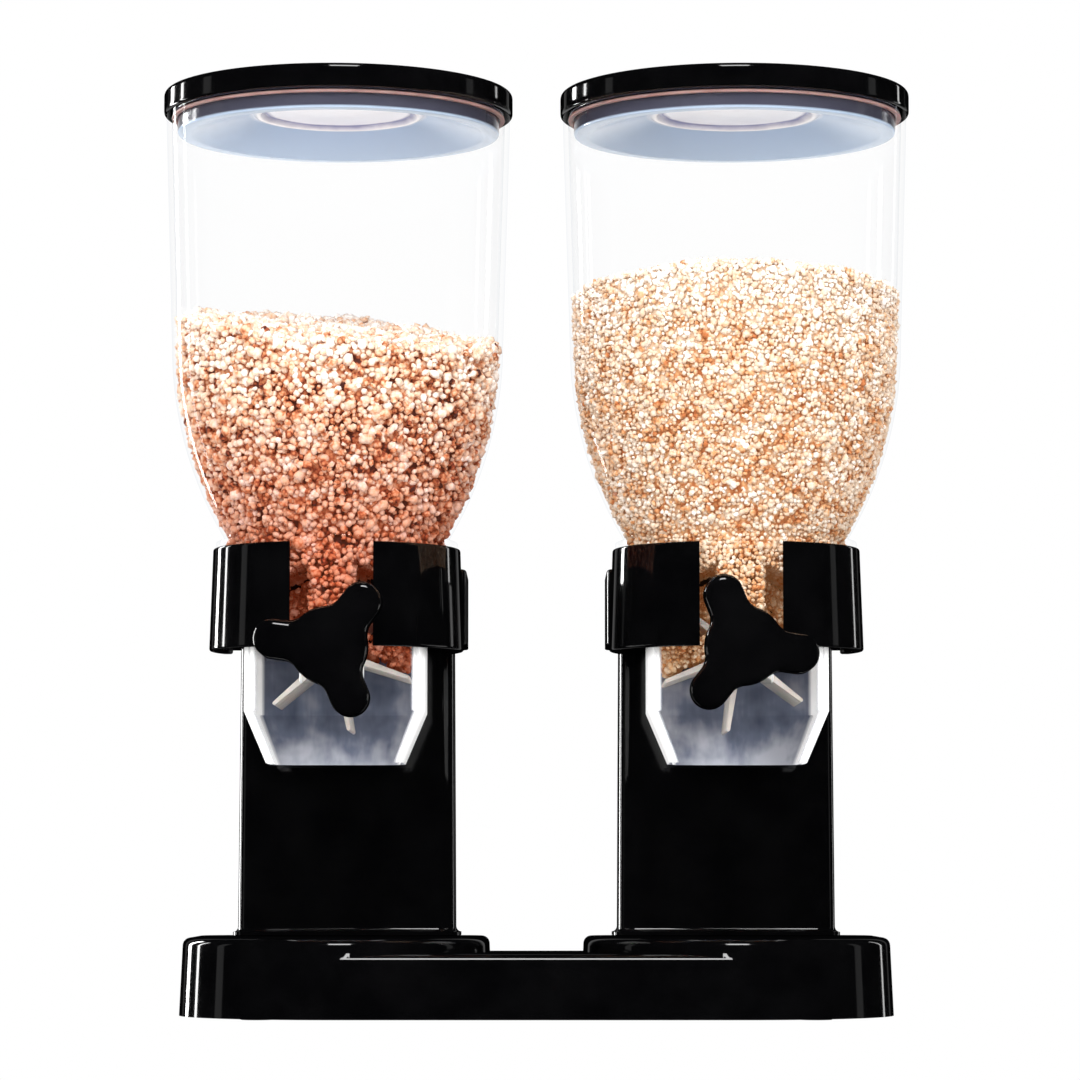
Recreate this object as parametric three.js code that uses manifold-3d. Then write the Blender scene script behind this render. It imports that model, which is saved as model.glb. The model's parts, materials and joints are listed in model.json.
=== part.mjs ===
// Twin countertop cereal dispenser. One stand carries two clear hoppers, and a knob in front of each hopper
// turns a flexible paddle wheel in its neck. Millimetres, +Z up, the front faces -Y, and the origin is on the
// table under the middle of the whole object.
import * as THREE from "three";
import { mergeVertices } from "three/addons/utils/BufferGeometryUtils.js";
import Module from "manifold-3d";

const wasm = await Module();
wasm.setup();

// ---- Driving dimensions ----

// Fits and facets
const GAP = 0.3; // between two pieces that touch
const WALL = 2.5; // black mouldings
const CLEAR_WALL = 2.2; // hopper
const ROUND = 32; // facets of a large circle
const MIDDLE_ROUND = 16; // facets of a bush, foot or hub
const SMALL_ROUND = 12; // facets of the shaft and of its bores
const SCREW_ROUND = 8; // facets of a screw, its hole and its boss
const FRONT_STEPS = 16; // steps of the base's half-round front
const KNOB_STEPS = 8; // steps of a knob lobe's round end
const CORNER_STEPS = 4; // steps of each of the base's rear corners
const EDGE_STEPS = 3; // steps of any other rounding
const BOWL_STEPS = 6; // steps of the bowl's outer curve; its inner curve has one fewer
const MERGE_MM = 1e-4; // vertices closer than this are one
const PAST = 1; // a cutting form runs on past a face by this much

// Base
const HOPPER_X = 84.5; // from the middle to each hopper's axis
const STAND_OFF = 0.5; // the base clears the table by this much
const FOOT_HEIGHT = 1.5; // each foot is sunk in a pocket of the plate
const FOOT_RADIUS = 7;
const FOOT_CHAMFER = 0.3;
const LOBE_RADIUS = 65.5;
const LOBE_TOP = 33;
const BASE_BACK = 79;
const BASE_CORNER = 18;
const BASE_DRAFT = 1.5; // the sides lean in by this much over the lobe's height
const BASE_EDGE = 3; // rounding of the upper edges
const BRIDGE_TOP = 27;
const BRIDGE_BACK = 30;
const PLATE_THICKNESS = 3;

// Screws
const HEAD_RADIUS = 3.2;
const HEAD_HEIGHT = 1.6;
const HEAD_FLAT = 2.4; // radius of the head's flat top
const HEAD_SIDE = 0.7; // height of the head's upright side
const SHANK_RADIUS = 1.5;
const SHANK_HOLE = 1.9;
const HEAD_HOLE = 3.6;
const BOSS_RADIUS = 4.3;
const SCREW_LENGTH = 12;
const SCREW_TIP = 2;
const HEAD_SINK = 1; // depth above the counterbore in the base plate

// Posts
const POST_FRONT = 41;
const POST_BACK = 76;
const POST_HALF = 47; // half width at the foot
const POST_SHIFT = 2.5; // each post stands this much nearer to the middle than its hopper's axis
const POST_TOP_SCALE = 0.985;
const POST_CORNER = 8;
const POST_TOP = 157.5;
const FLANGE_REACH = 2.2; // the foot flange stands out by this much
const FLANGE_HEIGHT = 2;
const FLANGE_EDGE = 1; // height of the flange's sloping edge
const FLANGE_TOP_SCALE = 0.97;
const WINDOW_HALF = 39; // rear opening that the cover closes
const WINDOW_MARGIN = 7; // above and below the opening
const COVER_SCREW_INSET = 16; // from the opening's ends
const POST_SCREW_X = 32;
const POST_SCREW_Y = 62;

// Cradles
const CRADLE_TOP = 196.5;
const CRADLE_BOTTOM = 153.3; // the ring hangs down in front of the post to this height
const CRADLE_INNER = 49.5;
const CRADLE_TOP_RADIUS = 52.5;
const CRADLE_BOTTOM_RADIUS = 54;
const SLOT_HALF = 17.25; // front slot
const BLOCK_HALF = 54.5; // rear block
const BLOCK_FRONT = 20;
const BLOCK_TOP = 190;
const BLOCK_CORNER = 6;

// Hoppers
const RIM_Z = 381.4;
const RIM_RADIUS = 73.3;
const BOWL_TOP = 283; // the straight wall meets the bowl here
const BOWL_RADIUS = 70.3;
const BOWL_CURVE = 160; // radius of the bowl's arc
const BOWL_BOTTOM = 200.6;
const NECK_RADIUS = 47.5;
const NECK_BOTTOM = 180;
const BEAD_RADIUS = 51.2; // seating bead
const BEAD_HEIGHT = 2.5;
const SPOUT_HALF = 38; // half width of the squared channel
const SPOUT_DEPTH_RATIO = 34 / 38;
const SPOUT_TOP = 162;
const TAPER_TOP = 127.5;
const MOUTH_Z = 106;
const MOUTH_HALF = 29;
const SQUARENESS = 6; // exponent of the channel's superellipse
const KEY_HALF = 13; // locating key in the cradle's slot
const KEY_FRONT = -50.5;
const KEY_BOTTOM = 138;
const KEY_FLOOR = 166; // the key is hollow above this height
const KEY_OPEN_BACK = -22.5; // the key's hollow runs in to this place and so opens into the neck

// Drive
const SHAFT_Z = 152;
const SHAFT_RADIUS = 4;
const SHAFT_FRONT = -74;
const SHAFT_BACK = 39;
const WHEEL_RADIUS = 33.5;
const WHEEL_HALF = 25.5;
const WHEEL_HUB = 9;
const BLADES = 6;
const BLADE_HALF = 1.1;
const FRONT_BUSH_RADIUS = 8.5;
const FRONT_BUSH_FLANGE = 11;
const FRONT_BUSH_THICKNESS = 3; // of its flange
const REAR_BUSH_RADIUS = 6.5;
const REAR_BUSH_FLANGE = 9;
const REAR_BUSH_THICKNESS = 2.2;
const BUSH_END = 30.5; // both bushes reach in to this distance from the hopper's axis
const KNOB_LOBES = 3;
const KNOB_REACH = 22.6; // centre of each lobe's round end
const KNOB_END = 8; // radius of that end, and half the lobe's width
const KNOB_WAIST = 16; // radius of the round middle that the lobes stand out from
const KNOB_FILLET = 8; // hollow between a lobe and the middle
const KNOB_FRONT = -79;
const KNOB_BACK = -61;
const KNOB_HUB = 10;
const KNOB_HUB_BACK = -56.5;
const KNOB_BEVEL = 2.5;
const CLIP_RADIUS = 7;
const CLIP_OPENING = 35; // half of it, in degrees
const CLIP_THICKNESS = 1;
const CLIP_INSET = 1.1; // from the shaft's rear end
const SHAFT_CHAMFER = 0.8;

// Lids
const LID_RADIUS = 74.3;
const LID_TOP = 391.7;
const LID_RIM = 3.3; // rim's thickness
const LID_PLATE = 3; // thickness of its top
const LID_EDGE = 2.4; // rounding of its upper edge
const PLUG_RADIUS = 68.5;
const PLUG_BOTTOM = 373.7;
const PLUG_CHAMFER = 1.5;
const DISH_RADIUS = 62; // the plug's underside rises from here
const DISC_RADIUS = 34; // to this flat disc
const DISC_Z = 383.7;
const DISC_STEP = 0.8;
const SEAL_RADIUS = 70.9;
const SEAL_BOTTOM = 379.9;
const SEAL_CHAMFER = 0.4;

// How each side stands at rest: the angle of one knob lobe and of one blade, anticlockwise from +X as seen
// from the front.
const SIDES = [
  { name: "left", x: -HOPPER_X, knob: 52.8, blade: 41 },
  { name: "right", x: HOPPER_X, knob: 111.7, blade: 22 },
];

// ---- Materials ----

const glossBlack = () => new THREE.MeshStandardMaterial({ color: 0x0b0b0d, roughness: 0.16, metalness: 0 });
const satinBlack = () => new THREE.MeshStandardMaterial({ color: 0x131315, roughness: 0.4, metalness: 0 });
const clearPlastic = () =>
  new THREE.MeshStandardMaterial({
    color: 0xf2f6f8,
    roughness: 0.05,
    metalness: 0,
    transparent: true,
    opacity: 0.3,
  });
const blueGrey = () => new THREE.MeshStandardMaterial({ color: 0x8a97ab, roughness: 0.25, metalness: 0 });
const silicone = () => new THREE.MeshStandardMaterial({ color: 0xe4e4df, roughness: 0.55, metalness: 0 });
const blushSilicone = () => new THREE.MeshStandardMaterial({ color: 0xd9bdb6, roughness: 0.5, metalness: 0 });
const rubber = () => new THREE.MeshStandardMaterial({ color: 0x1b1b1c, roughness: 0.85, metalness: 0 });
const steel = () => new THREE.MeshStandardMaterial({ color: 0xb4b7bb, roughness: 0.3, metalness: 1 });

// ---- Solids from geometries ----

// A closed three.js geometry as a solid.
function toSolid(geometry) {
  const bare = geometry.clone();
  bare.deleteAttribute("normal");
  bare.deleteAttribute("uv");
  const merged = mergeVertices(bare, MERGE_MM);
  const index = merged.index.array;
  const faces = [];
  for (let i = 0; i < index.length; i += 3) {
    const [a, b, c] = [index[i], index[i + 1], index[i + 2]];
    if (a !== b && b !== c && c !== a) faces.push(a, b, c);
  }
  return new wasm.Manifold(
    new wasm.Mesh({
      numProp: 3,
      vertProperties: merged.attributes.position.array,
      triVerts: new Uint32Array(faces),
    }),
  );
}

// A solid as a geometry that a mesh can show.
function toGeometry(solid) {
  const { vertProperties, triVerts, numProp } = solid.getMesh();
  const geometry = new THREE.BufferGeometry();
  const positions = new Float32Array(triVerts.length * 3);
  triVerts.forEach((vertex, i) => {
    for (let k = 0; k < 3; k++) positions[i * 3 + k] = vertProperties[vertex * numProp + k];
  });
  geometry.setAttribute("position", new THREE.BufferAttribute(positions, 3));
  geometry.computeVertexNormals();
  return geometry;
}

function mesh(name, solid, material) {
  const made = new THREE.Mesh(toGeometry(solid), material);
  made.name = name;
  return made;
}

const joined = (solids) => solids.reduce((sum, solid) => sum.add(solid));
const cut = (solid, tools) => tools.reduce((rest, tool) => rest.subtract(tool), solid);

// ---- Outlines and basic forms ----

const radians = THREE.MathUtils.degToRad;

// Points of an arc, anticlockwise where `to` is over `from`.
function arc(x, y, radius, from, to, steps) {
  return Array.from({ length: steps + 1 }, (_, i) => {
    const angle = radians(from + ((to - from) * i) / steps);
    return new THREE.Vector2(x + radius * Math.cos(angle), y + radius * Math.sin(angle));
  });
}

function roundedRectangle(halfX, halfY, corner) {
  const [x, y] = [halfX - corner, halfY - corner];
  return new THREE.Shape([
    ...arc(x, y, corner, 0, 90, EDGE_STEPS),
    ...arc(-x, y, corner, 90, 180, EDGE_STEPS),
    ...arc(-x, -y, corner, 180, 270, EDGE_STEPS),
    ...arc(x, -y, corner, 270, 360, EDGE_STEPS),
  ]);
}

// An outline raised through levels, each with its height and its scale about the outline's origin.
function raised(shape, levels) {
  const steps = levels.length - 1;
  const geometry = new THREE.ExtrudeGeometry(shape, { depth: steps, steps, bevelEnabled: false });
  const position = geometry.getAttribute("position");
  for (let i = 0; i < position.count; i++) {
    const { z, scale } = levels[Math.round(position.getZ(i))];
    position.setXYZ(i, position.getX(i) * scale, position.getY(i) * scale, z);
  }
  return geometry;
}

const straight = (low, high) => [
  { z: low, scale: 1 },
  { z: high, scale: 1 },
];

// A form turned about +Z from [radius, height] pairs.
function turnedUp(profile, facets = ROUND) {
  const points = profile.map(([r, z]) => new THREE.Vector2(r, z));
  return new THREE.LatheGeometry(points, facets).rotateX(Math.PI / 2);
}

// The same about +Y, where the second number of each pair is the place along +Y.
function turnedBack(profile, facets = SMALL_ROUND) {
  const points = profile.map(([r, y]) => new THREE.Vector2(r, y));
  return new THREE.LatheGeometry(points, facets);
}

// An outline in the upright XZ plane, from `back` forward to `front`.
function raisedForward(shape, back, front) {
  return raised(shape, straight(-back, -front)).rotateX(Math.PI / 2);
}

function block(x0, x1, y0, y1, z0, z1) {
  const geometry = new THREE.BoxGeometry(x1 - x0, y1 - y0, z1 - z0);
  return toSolid(geometry.translate((x0 + x1) / 2, (y0 + y1) / 2, (z0 + z1) / 2));
}

const rodProfile = (radius, low, high) => [
  [0, low],
  [radius, low],
  [radius, high],
  [0, high],
];
const rodUp = (radius, low, high, x = 0, y = 0, facets = SCREW_ROUND) =>
  toSolid(turnedUp(rodProfile(radius, low, high), facets).translate(x, y, 0));
const rodBack = (radius, front, back, x = 0, z = 0, facets = SMALL_ROUND) =>
  toSolid(turnedBack(rodProfile(radius, front, back), facets).translate(x, 0, z));

// A ring about the shaft's axis, whose profile closes on itself.
function ringBack(profile, facets = MIDDLE_ROUND) {
  return toSolid(turnedBack([...profile, profile[0]], facets));
}

// Levels of a drafted wall with a rounded upper edge, as scales of a wall that starts at `radius`.
function draftedLevels(low, high, radius, edge) {
  const lean = (z) => (BASE_DRAFT * z) / LOBE_TOP;
  const levels = [{ z: low, scale: 1 - lean(low) / radius }];
  for (const angle of edge ? [0, 45, 90] : [90]) {
    const z = high - edge * (1 - Math.sin(radians(angle)));
    const inset = edge * (1 - Math.cos(radians(angle)));
    levels.push({ z, scale: 1 - (lean(z) + inset) / radius });
  }
  return levels;
}

// ---- Base ----

// One end of the base: round in front, straight at the sides, with rounded rear corners.
function lobeOutline(inset) {
  const radius = LOBE_RADIUS - inset;
  const back = BASE_BACK - inset;
  const corner = BASE_CORNER - inset;
  return new THREE.Shape([
    ...arc(0, 0, radius, 180, 360, FRONT_STEPS),
    ...arc(radius - corner, back - corner, corner, 0, 90, CORNER_STEPS),
    ...arc(corner - radius, back - corner, corner, 90, 180, CORNER_STEPS),
  ]);
}

function bridgeOutline(inset) {
  const front = inset - LOBE_RADIUS;
  const back = BRIDGE_BACK - inset;
  return new THREE.Shape([
    new THREE.Vector2(-HOPPER_X, front),
    new THREE.Vector2(HOPPER_X, front),
    new THREE.Vector2(HOPPER_X, back),
    new THREE.Vector2(-HOPPER_X, back),
  ]);
}

// The base's whole form at one inset: two lobes and the lower bridge between them.
function baseForm(inset, low, lobeHigh, bridgeHigh, edge) {
  const radius = LOBE_RADIUS - inset;
  const lobe = raised(lobeOutline(inset), draftedLevels(low, lobeHigh, radius, edge));
  const bridge = raised(bridgeOutline(inset), draftedLevels(low, bridgeHigh, radius, edge));
  const lobes = SIDES.map((side) => toSolid(lobe.clone().translate(side.x, 0, 0)));
  return joined([...lobes, toSolid(bridge)]);
}

const PLATE_BOTTOM = STAND_OFF + GAP;
const PLATE_TOP = PLATE_BOTTOM + PLATE_THICKNESS;

// Each side's fixings, as [distance outward from the hopper's axis, y].
const BASE_SCREWS = [
  [-40, -30],
  [40, -30],
  [0, 62],
];
const FEET = [
  [-30, -44],
  [30, -44],
  [44, 60],
];

const postX = (side) => side.x - Math.sign(side.x) * POST_SHIFT;
const perSide = (places) =>
  SIDES.flatMap((side) => places.map(([out, y]) => [side.x + Math.sign(side.x) * out, y]));
const postScrewPlaces = () =>
  SIDES.flatMap((side) => [-POST_SCREW_X, POST_SCREW_X].map((x) => [postX(side) + x, POST_SCREW_Y]));

function baseShell() {
  const roof = LOBE_TOP - WALL;
  const outer = baseForm(0, STAND_OFF, LOBE_TOP, BRIDGE_TOP, BASE_EDGE);
  const inner = baseForm(WALL, 0, roof, BRIDGE_TOP - WALL, 0);
  const bosses = perSide(BASE_SCREWS).map(([x, y]) =>
    rodUp(BOSS_RADIUS, PLATE_TOP + GAP, roof + WALL / 2, x, y),
  );
  const pilots = perSide(BASE_SCREWS).map(([x, y]) =>
    rodUp(SHANK_HOLE, 0, PLATE_TOP + SCREW_LENGTH, x, y),
  );
  const postHoles = postScrewPlaces().map(([x, y]) =>
    rodUp(SHANK_HOLE, roof - WALL, LOBE_TOP + WALL, x, y),
  );
  return cut(joined([cut(outer, [inner]), ...bosses]), [...pilots, ...postHoles]);
}

const HEAD_SEAT = PLATE_TOP - HEAD_SINK; // floor of each screw's counterbore in the plate

function basePlate() {
  const plate = baseForm(WALL + GAP, PLATE_BOTTOM, PLATE_TOP, PLATE_TOP, 0);
  const holes = perSide(BASE_SCREWS).flatMap(([x, y]) => [
    rodUp(SHANK_HOLE, 0, PLATE_TOP + PAST, x, y),
    rodUp(HEAD_HOLE, 0, HEAD_SEAT, x, y),
  ]);
  const footPockets = perSide(FEET).map(([x, y]) =>
    rodUp(FOOT_RADIUS + GAP, 0, FOOT_HEIGHT + GAP, x, y, MIDDLE_ROUND),
  );
  return cut(plate, [...holes, ...footPockets]);
}

// A pan-head screw along +Z, with the underside of its head at the origin.
function screw() {
  return turnedUp(
    [
      [0, -HEAD_HEIGHT],
      [HEAD_FLAT, -HEAD_HEIGHT],
      [HEAD_RADIUS, -HEAD_SIDE],
      [HEAD_RADIUS, 0],
      [SHANK_RADIUS, 0],
      [SHANK_RADIUS, SCREW_LENGTH - SCREW_TIP],
      [0, SCREW_LENGTH],
    ],
    SCREW_ROUND,
  );
}

function base() {
  const group = new THREE.Group();
  group.add(mesh("base_shell", baseShell(), glossBlack()));
  group.add(mesh("base_plate", basePlate(), satinBlack()));
  const foot = toSolid(
    turnedUp(
      [
        [0, 0],
        [FOOT_RADIUS - FOOT_CHAMFER, 0],
        [FOOT_RADIUS, FOOT_CHAMFER],
        [FOOT_RADIUS, FOOT_HEIGHT],
        [0, FOOT_HEIGHT],
      ],
      MIDDLE_ROUND,
    ),
  );
  perSide(FEET).forEach(([x, y], i) => {
    const made = mesh(`foot_${i + 1}`, foot, rubber());
    made.position.set(x, y, 0);
    group.add(made);
  });
  const screwSolid = toSolid(screw());
  perSide(BASE_SCREWS).forEach(([x, y], i) => {
    const made = mesh(`base_screw_${i + 1}`, screwSolid, steel());
    made.position.set(x, y, HEAD_SEAT - GAP);
    group.add(made);
  });
  return group;
}

// ---- Post ----

const POST_BOTTOM = LOBE_TOP + GAP;
const POST_MIDDLE = (POST_FRONT + POST_BACK) / 2;
const POST_DEPTH = (POST_BACK - POST_FRONT) / 2; // half of it
const POST_FLOOR = POST_BOTTOM + WALL;
const WINDOW_LOW = POST_FLOOR + WINDOW_MARGIN;
const WINDOW_HIGH = POST_TOP - WALL - WINDOW_MARGIN;
const COVER_SCREWS = [WINDOW_LOW + COVER_SCREW_INSET, WINDOW_HIGH - COVER_SCREW_INSET];

// The post's outline with its walls moved in by `inset`, raised and tapered.
function postForm(inset, low, high) {
  const outline = roundedRectangle(POST_HALF - inset, POST_DEPTH - inset, POST_CORNER - inset);
  const taper = (z) => 1 - ((1 - POST_TOP_SCALE) * (z - POST_BOTTOM)) / (POST_TOP - POST_BOTTOM);
  const levels = [low, high].map((z) => ({ z, scale: taper(z) }));
  return toSolid(raised(outline, levels).translate(0, POST_MIDDLE, 0));
}

function post() {
  const flangeOutline = roundedRectangle(
    POST_HALF + FLANGE_REACH,
    POST_DEPTH + FLANGE_REACH,
    POST_CORNER + FLANGE_REACH,
  );
  const flangeTop = POST_BOTTOM + FLANGE_HEIGHT;
  const flange = raised(flangeOutline, [
    { z: POST_BOTTOM, scale: 1 },
    { z: flangeTop - FLANGE_EDGE, scale: 1 },
    { z: flangeTop, scale: FLANGE_TOP_SCALE },
  ]).translate(0, POST_MIDDLE, 0);
  const backWall = POST_BACK - WALL;
  const screwXs = [-POST_SCREW_X, POST_SCREW_X];
  const shell = cut(joined([postForm(0, POST_BOTTOM, POST_TOP), toSolid(flange)]), [
    postForm(WALL, POST_FLOOR, POST_TOP - WALL),
    block(-WINDOW_HALF, WINDOW_HALF, backWall - PAST, POST_BACK + PAST, WINDOW_LOW, WINDOW_HIGH),
  ]);
  const coverBosses = COVER_SCREWS.map((z) =>
    rodBack(BOSS_RADIUS, POST_FRONT + WALL / 2, backWall, 0, z, SCREW_ROUND),
  );
  const footBosses = screwXs.map((x) =>
    rodUp(BOSS_RADIUS, POST_BOTTOM + PAST, POST_BOTTOM + SCREW_LENGTH, x, POST_SCREW_Y),
  );
  const coverPilots = COVER_SCREWS.map((z) =>
    rodBack(SHANK_HOLE, POST_BACK - SCREW_LENGTH - PAST, POST_BACK, 0, z, SCREW_ROUND),
  );
  const uprightHoles = screwXs.flatMap((x) => [
    rodUp(SHANK_HOLE, LOBE_TOP, POST_BOTTOM + SCREW_LENGTH - PAST, x, POST_SCREW_Y),
    rodUp(SHANK_HOLE, POST_TOP - 2 * WALL, POST_TOP + PAST, x, POST_SCREW_Y),
  ]);
  return cut(joined([shell, ...coverBosses, ...footBosses]), [...coverPilots, ...uprightHoles]);
}

function postCover() {
  const panel = block(
    GAP - WINDOW_HALF,
    WINDOW_HALF - GAP,
    POST_BACK - WALL + GAP,
    POST_BACK,
    WINDOW_LOW + GAP,
    WINDOW_HIGH - GAP,
  );
  return cut(
    panel,
    COVER_SCREWS.map((z) => rodBack(SHANK_HOLE, POST_FRONT, POST_BACK + PAST, 0, z, SCREW_ROUND)),
  );
}

// ---- Cradle ----

// An open-fronted ring with a hollow block behind it that stands on the post. The screws from the post come up
// at `shift` from the ring's middle.
function cradle(shift) {
  const low = POST_TOP + GAP;
  const ring = toSolid(
    turnedUp([
      [0, CRADLE_BOTTOM],
      [CRADLE_BOTTOM_RADIUS, CRADLE_BOTTOM],
      [CRADLE_TOP_RADIUS, CRADLE_TOP],
      [0, CRADLE_TOP],
    ]),
  );
  const blockMiddle = (BLOCK_FRONT + POST_BACK) / 2;
  const blockDepth = (POST_BACK - BLOCK_FRONT) / 2;
  const form = (inset, z0, z1) => {
    const outline = roundedRectangle(BLOCK_HALF - inset, blockDepth - inset, BLOCK_CORNER - inset);
    return toSolid(raised(outline, straight(z0, z1)).translate(0, blockMiddle, 0));
  };
  const pocket = cut(form(WALL, low - PAST, BLOCK_TOP - WALL), [
    rodUp(CRADLE_INNER + WALL, low - 2 * PAST, BLOCK_TOP, 0, 0, ROUND),
  ]);
  const screwXs = [shift - POST_SCREW_X, shift + POST_SCREW_X];
  const bosses = screwXs.map((x) => rodUp(BOSS_RADIUS, low, BLOCK_TOP - PAST, x, POST_SCREW_Y));
  const pilots = screwXs.map((x) => rodUp(SHANK_HOLE, low - PAST, low + SCREW_LENGTH, x, POST_SCREW_Y));
  const behind = block(-BLOCK_HALF, BLOCK_HALF, BLOCK_FRONT, POST_BACK, CRADLE_BOTTOM - PAST, low);
  const shell = cut(joined([cut(ring, [behind]), form(0, low, BLOCK_TOP)]), [pocket]);
  return cut(joined([shell, ...bosses]), [
    ...pilots,
    rodUp(CRADLE_INNER, CRADLE_BOTTOM - PAST, CRADLE_TOP + PAST, 0, 0, ROUND),
    block(-SLOT_HALF, SLOT_HALF, -2 * CRADLE_INNER, 0, CRADLE_BOTTOM - PAST, CRADLE_TOP + PAST),
  ]);
}

// ---- Hopper ----

// Radius of the bowl's outer wall at a height between BOWL_BOTTOM and BOWL_TOP.
function bowlRadius(z) {
  return BOWL_RADIUS - BOWL_CURVE + Math.sqrt(BOWL_CURVE ** 2 - (BOWL_TOP - z) ** 2);
}

function bowlPoints(inset, steps) {
  return Array.from({ length: steps + 1 }, (_, i) => {
    const z = BOWL_BOTTOM + ((BOWL_TOP - BOWL_BOTTOM) * i) / steps;
    return [bowlRadius(z) - inset, z];
  });
}

// Turns a round form into the squared channel below the neck, and leaves it round above the neck.
function squaredBelowNeck(geometry) {
  const position = geometry.getAttribute("position");
  for (let i = 0; i < position.count; i++) {
    const [x, y, z] = [position.getX(i), position.getY(i), position.getZ(i)];
    const radius = Math.hypot(x, y);
    const share = THREE.MathUtils.clamp((NECK_BOTTOM - z) / (NECK_BOTTOM - SPOUT_TOP), 0, 1);
    if (radius === 0 || share === 0) continue;
    const across = Math.abs(x / radius) ** SQUARENESS;
    const along = Math.abs(y / radius / SPOUT_DEPTH_RATIO) ** SQUARENESS;
    const grown = (across + along) ** (-1 / SQUARENESS);
    const scale = THREE.MathUtils.lerp(1, grown, share);
    position.setXYZ(i, x * scale, y * scale, z);
  }
  return geometry;
}

// One surface of the hopper, moved in by `inset`, as a solid that runs on by `extra` at both open ends.
function hopperForm(inset, extra) {
  const mouthSlope = (SPOUT_HALF - MOUTH_HALF) / (TAPER_TOP - MOUTH_Z);
  const bead = BEAD_RADIUS - inset;
  const beadLow = CRADLE_TOP + GAP;
  const beadPoints = [
    [bead, beadLow],
    [bead, beadLow + BEAD_HEIGHT],
  ];
  return toSolid(
    squaredBelowNeck(
      turnedUp([
        [0, MOUTH_Z - extra],
        [MOUTH_HALF - inset - extra * mouthSlope, MOUTH_Z - extra],
        [SPOUT_HALF - inset, TAPER_TOP],
        [SPOUT_HALF - inset, SPOUT_TOP],
        [(SPOUT_HALF + NECK_RADIUS) / 2 - inset, (SPOUT_TOP + NECK_BOTTOM) / 2],
        [NECK_RADIUS - inset, NECK_BOTTOM],
        [NECK_RADIUS - inset, beadLow],
        ...(extra ? [] : beadPoints),
        ...bowlPoints(inset, extra ? BOWL_STEPS - 1 : BOWL_STEPS),
        [RIM_RADIUS - inset, RIM_Z + extra],
        [0, RIM_Z + extra],
      ]),
    ),
  );
}

function canister() {
  const beadTop = CRADLE_TOP + GAP + BEAD_HEIGHT;
  const key = block(-KEY_HALF, KEY_HALF, KEY_FRONT, -BUSH_END, KEY_BOTTOM, beadTop);
  const keyHollow = block(
    CLEAR_WALL - KEY_HALF,
    KEY_HALF - CLEAR_WALL,
    KEY_FRONT + CLEAR_WALL,
    KEY_OPEN_BACK,
    KEY_FLOOR,
    beadTop - CLEAR_WALL,
  );
  return cut(joined([hopperForm(0, 0), key]), [
    hopperForm(CLEAR_WALL, PAST),
    keyHollow,
    rodBack(FRONT_BUSH_RADIUS + GAP, KEY_FRONT - PAST, 0, 0, SHAFT_Z, MIDDLE_ROUND),
    rodBack(REAR_BUSH_RADIUS + GAP, 0, POST_FRONT, 0, SHAFT_Z, MIDDLE_ROUND),
  ]);
}

// ---- Drive ----

// A flanged sleeve from the flange's outer face at `outer` to BUSH_END, on the front (-1) or rear (+1) side.
function bush(side, outer, flangeThickness, flangeRadius, sleeveRadius) {
  const bore = SHAFT_RADIUS + GAP;
  const shoulder = outer - side * flangeThickness;
  const profile = [
    [bore, outer],
    [flangeRadius, outer],
    [flangeRadius, shoulder],
    [sleeveRadius, shoulder],
    [sleeveRadius, side * BUSH_END],
    [bore, side * BUSH_END],
  ];
  return ringBack(side < 0 ? profile : profile.reverse());
}

function driveShaft() {
  return toSolid(
    turnedBack([
      [0, SHAFT_FRONT],
      [SHAFT_RADIUS - SHAFT_CHAMFER, SHAFT_FRONT],
      [SHAFT_RADIUS, SHAFT_FRONT + SHAFT_CHAMFER],
      [SHAFT_RADIUS, SHAFT_BACK - SHAFT_CHAMFER],
      [SHAFT_RADIUS - SHAFT_CHAMFER, SHAFT_BACK],
      [0, SHAFT_BACK],
    ]),
  );
}

function paddleWheel() {
  const sector = 360 / BLADES;
  const halfRoot = THREE.MathUtils.radToDeg(Math.asin(BLADE_HALF / WHEEL_HUB));
  const halfTip = THREE.MathUtils.radToDeg(Math.asin(BLADE_HALF / WHEEL_RADIUS));
  const points = [];
  for (let blade = 0; blade < BLADES; blade++) {
    const middle = blade * sector;
    points.push(...arc(0, 0, WHEEL_RADIUS, middle - halfTip, middle + halfTip, 1));
    points.push(...arc(0, 0, WHEEL_HUB, middle + halfRoot, middle + sector - halfRoot, EDGE_STEPS));
  }
  const outline = new THREE.Shape(points);
  outline.holes.push(new THREE.Path(arc(0, 0, SHAFT_RADIUS + GAP, 0, -360, SMALL_ROUND).slice(1)));
  return toSolid(raisedForward(outline, WHEEL_HALF, -WHEEL_HALF));
}

// Points of an arc about a centre given by its angle and distance from the origin.
function arcAbout(angle, distance, radius, from, to, steps) {
  const [x, y] = [distance * Math.cos(radians(angle)), distance * Math.sin(radians(angle))];
  return arc(x, y, radius, from, to, steps);
}

// A knob of three round-ended lobes on a round middle. A hollow fillet runs from each side of a lobe to the
// middle and touches both.
function knobOutline(inset) {
  const sector = 360 / KNOB_LOBES;
  const filletDistance = KNOB_WAIST + KNOB_FILLET;
  // Angle between a lobe's axis and the line from the knob's axis to a fillet's centre
  const lean = THREE.MathUtils.radToDeg(Math.asin((KNOB_END + KNOB_FILLET) / filletDistance));
  const fillet = KNOB_FILLET + inset;
  const points = [];
  for (let lobe = 0; lobe < KNOB_LOBES; lobe++) {
    const turn = lobe * sector;
    const next = turn + sector;
    points.push(...arcAbout(turn, KNOB_REACH, KNOB_END - inset, turn - 90, turn + 90, KNOB_STEPS));
    for (const [centre, from, to] of [
      [turn + lean, turn + 270, turn + lean + 180],
      [next - lean, next - lean + 180, next + 90],
    ]) {
      points.push(...arcAbout(centre, filletDistance, fillet, from, to, EDGE_STEPS));
    }
  }
  return new THREE.Shape(points);
}

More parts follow.
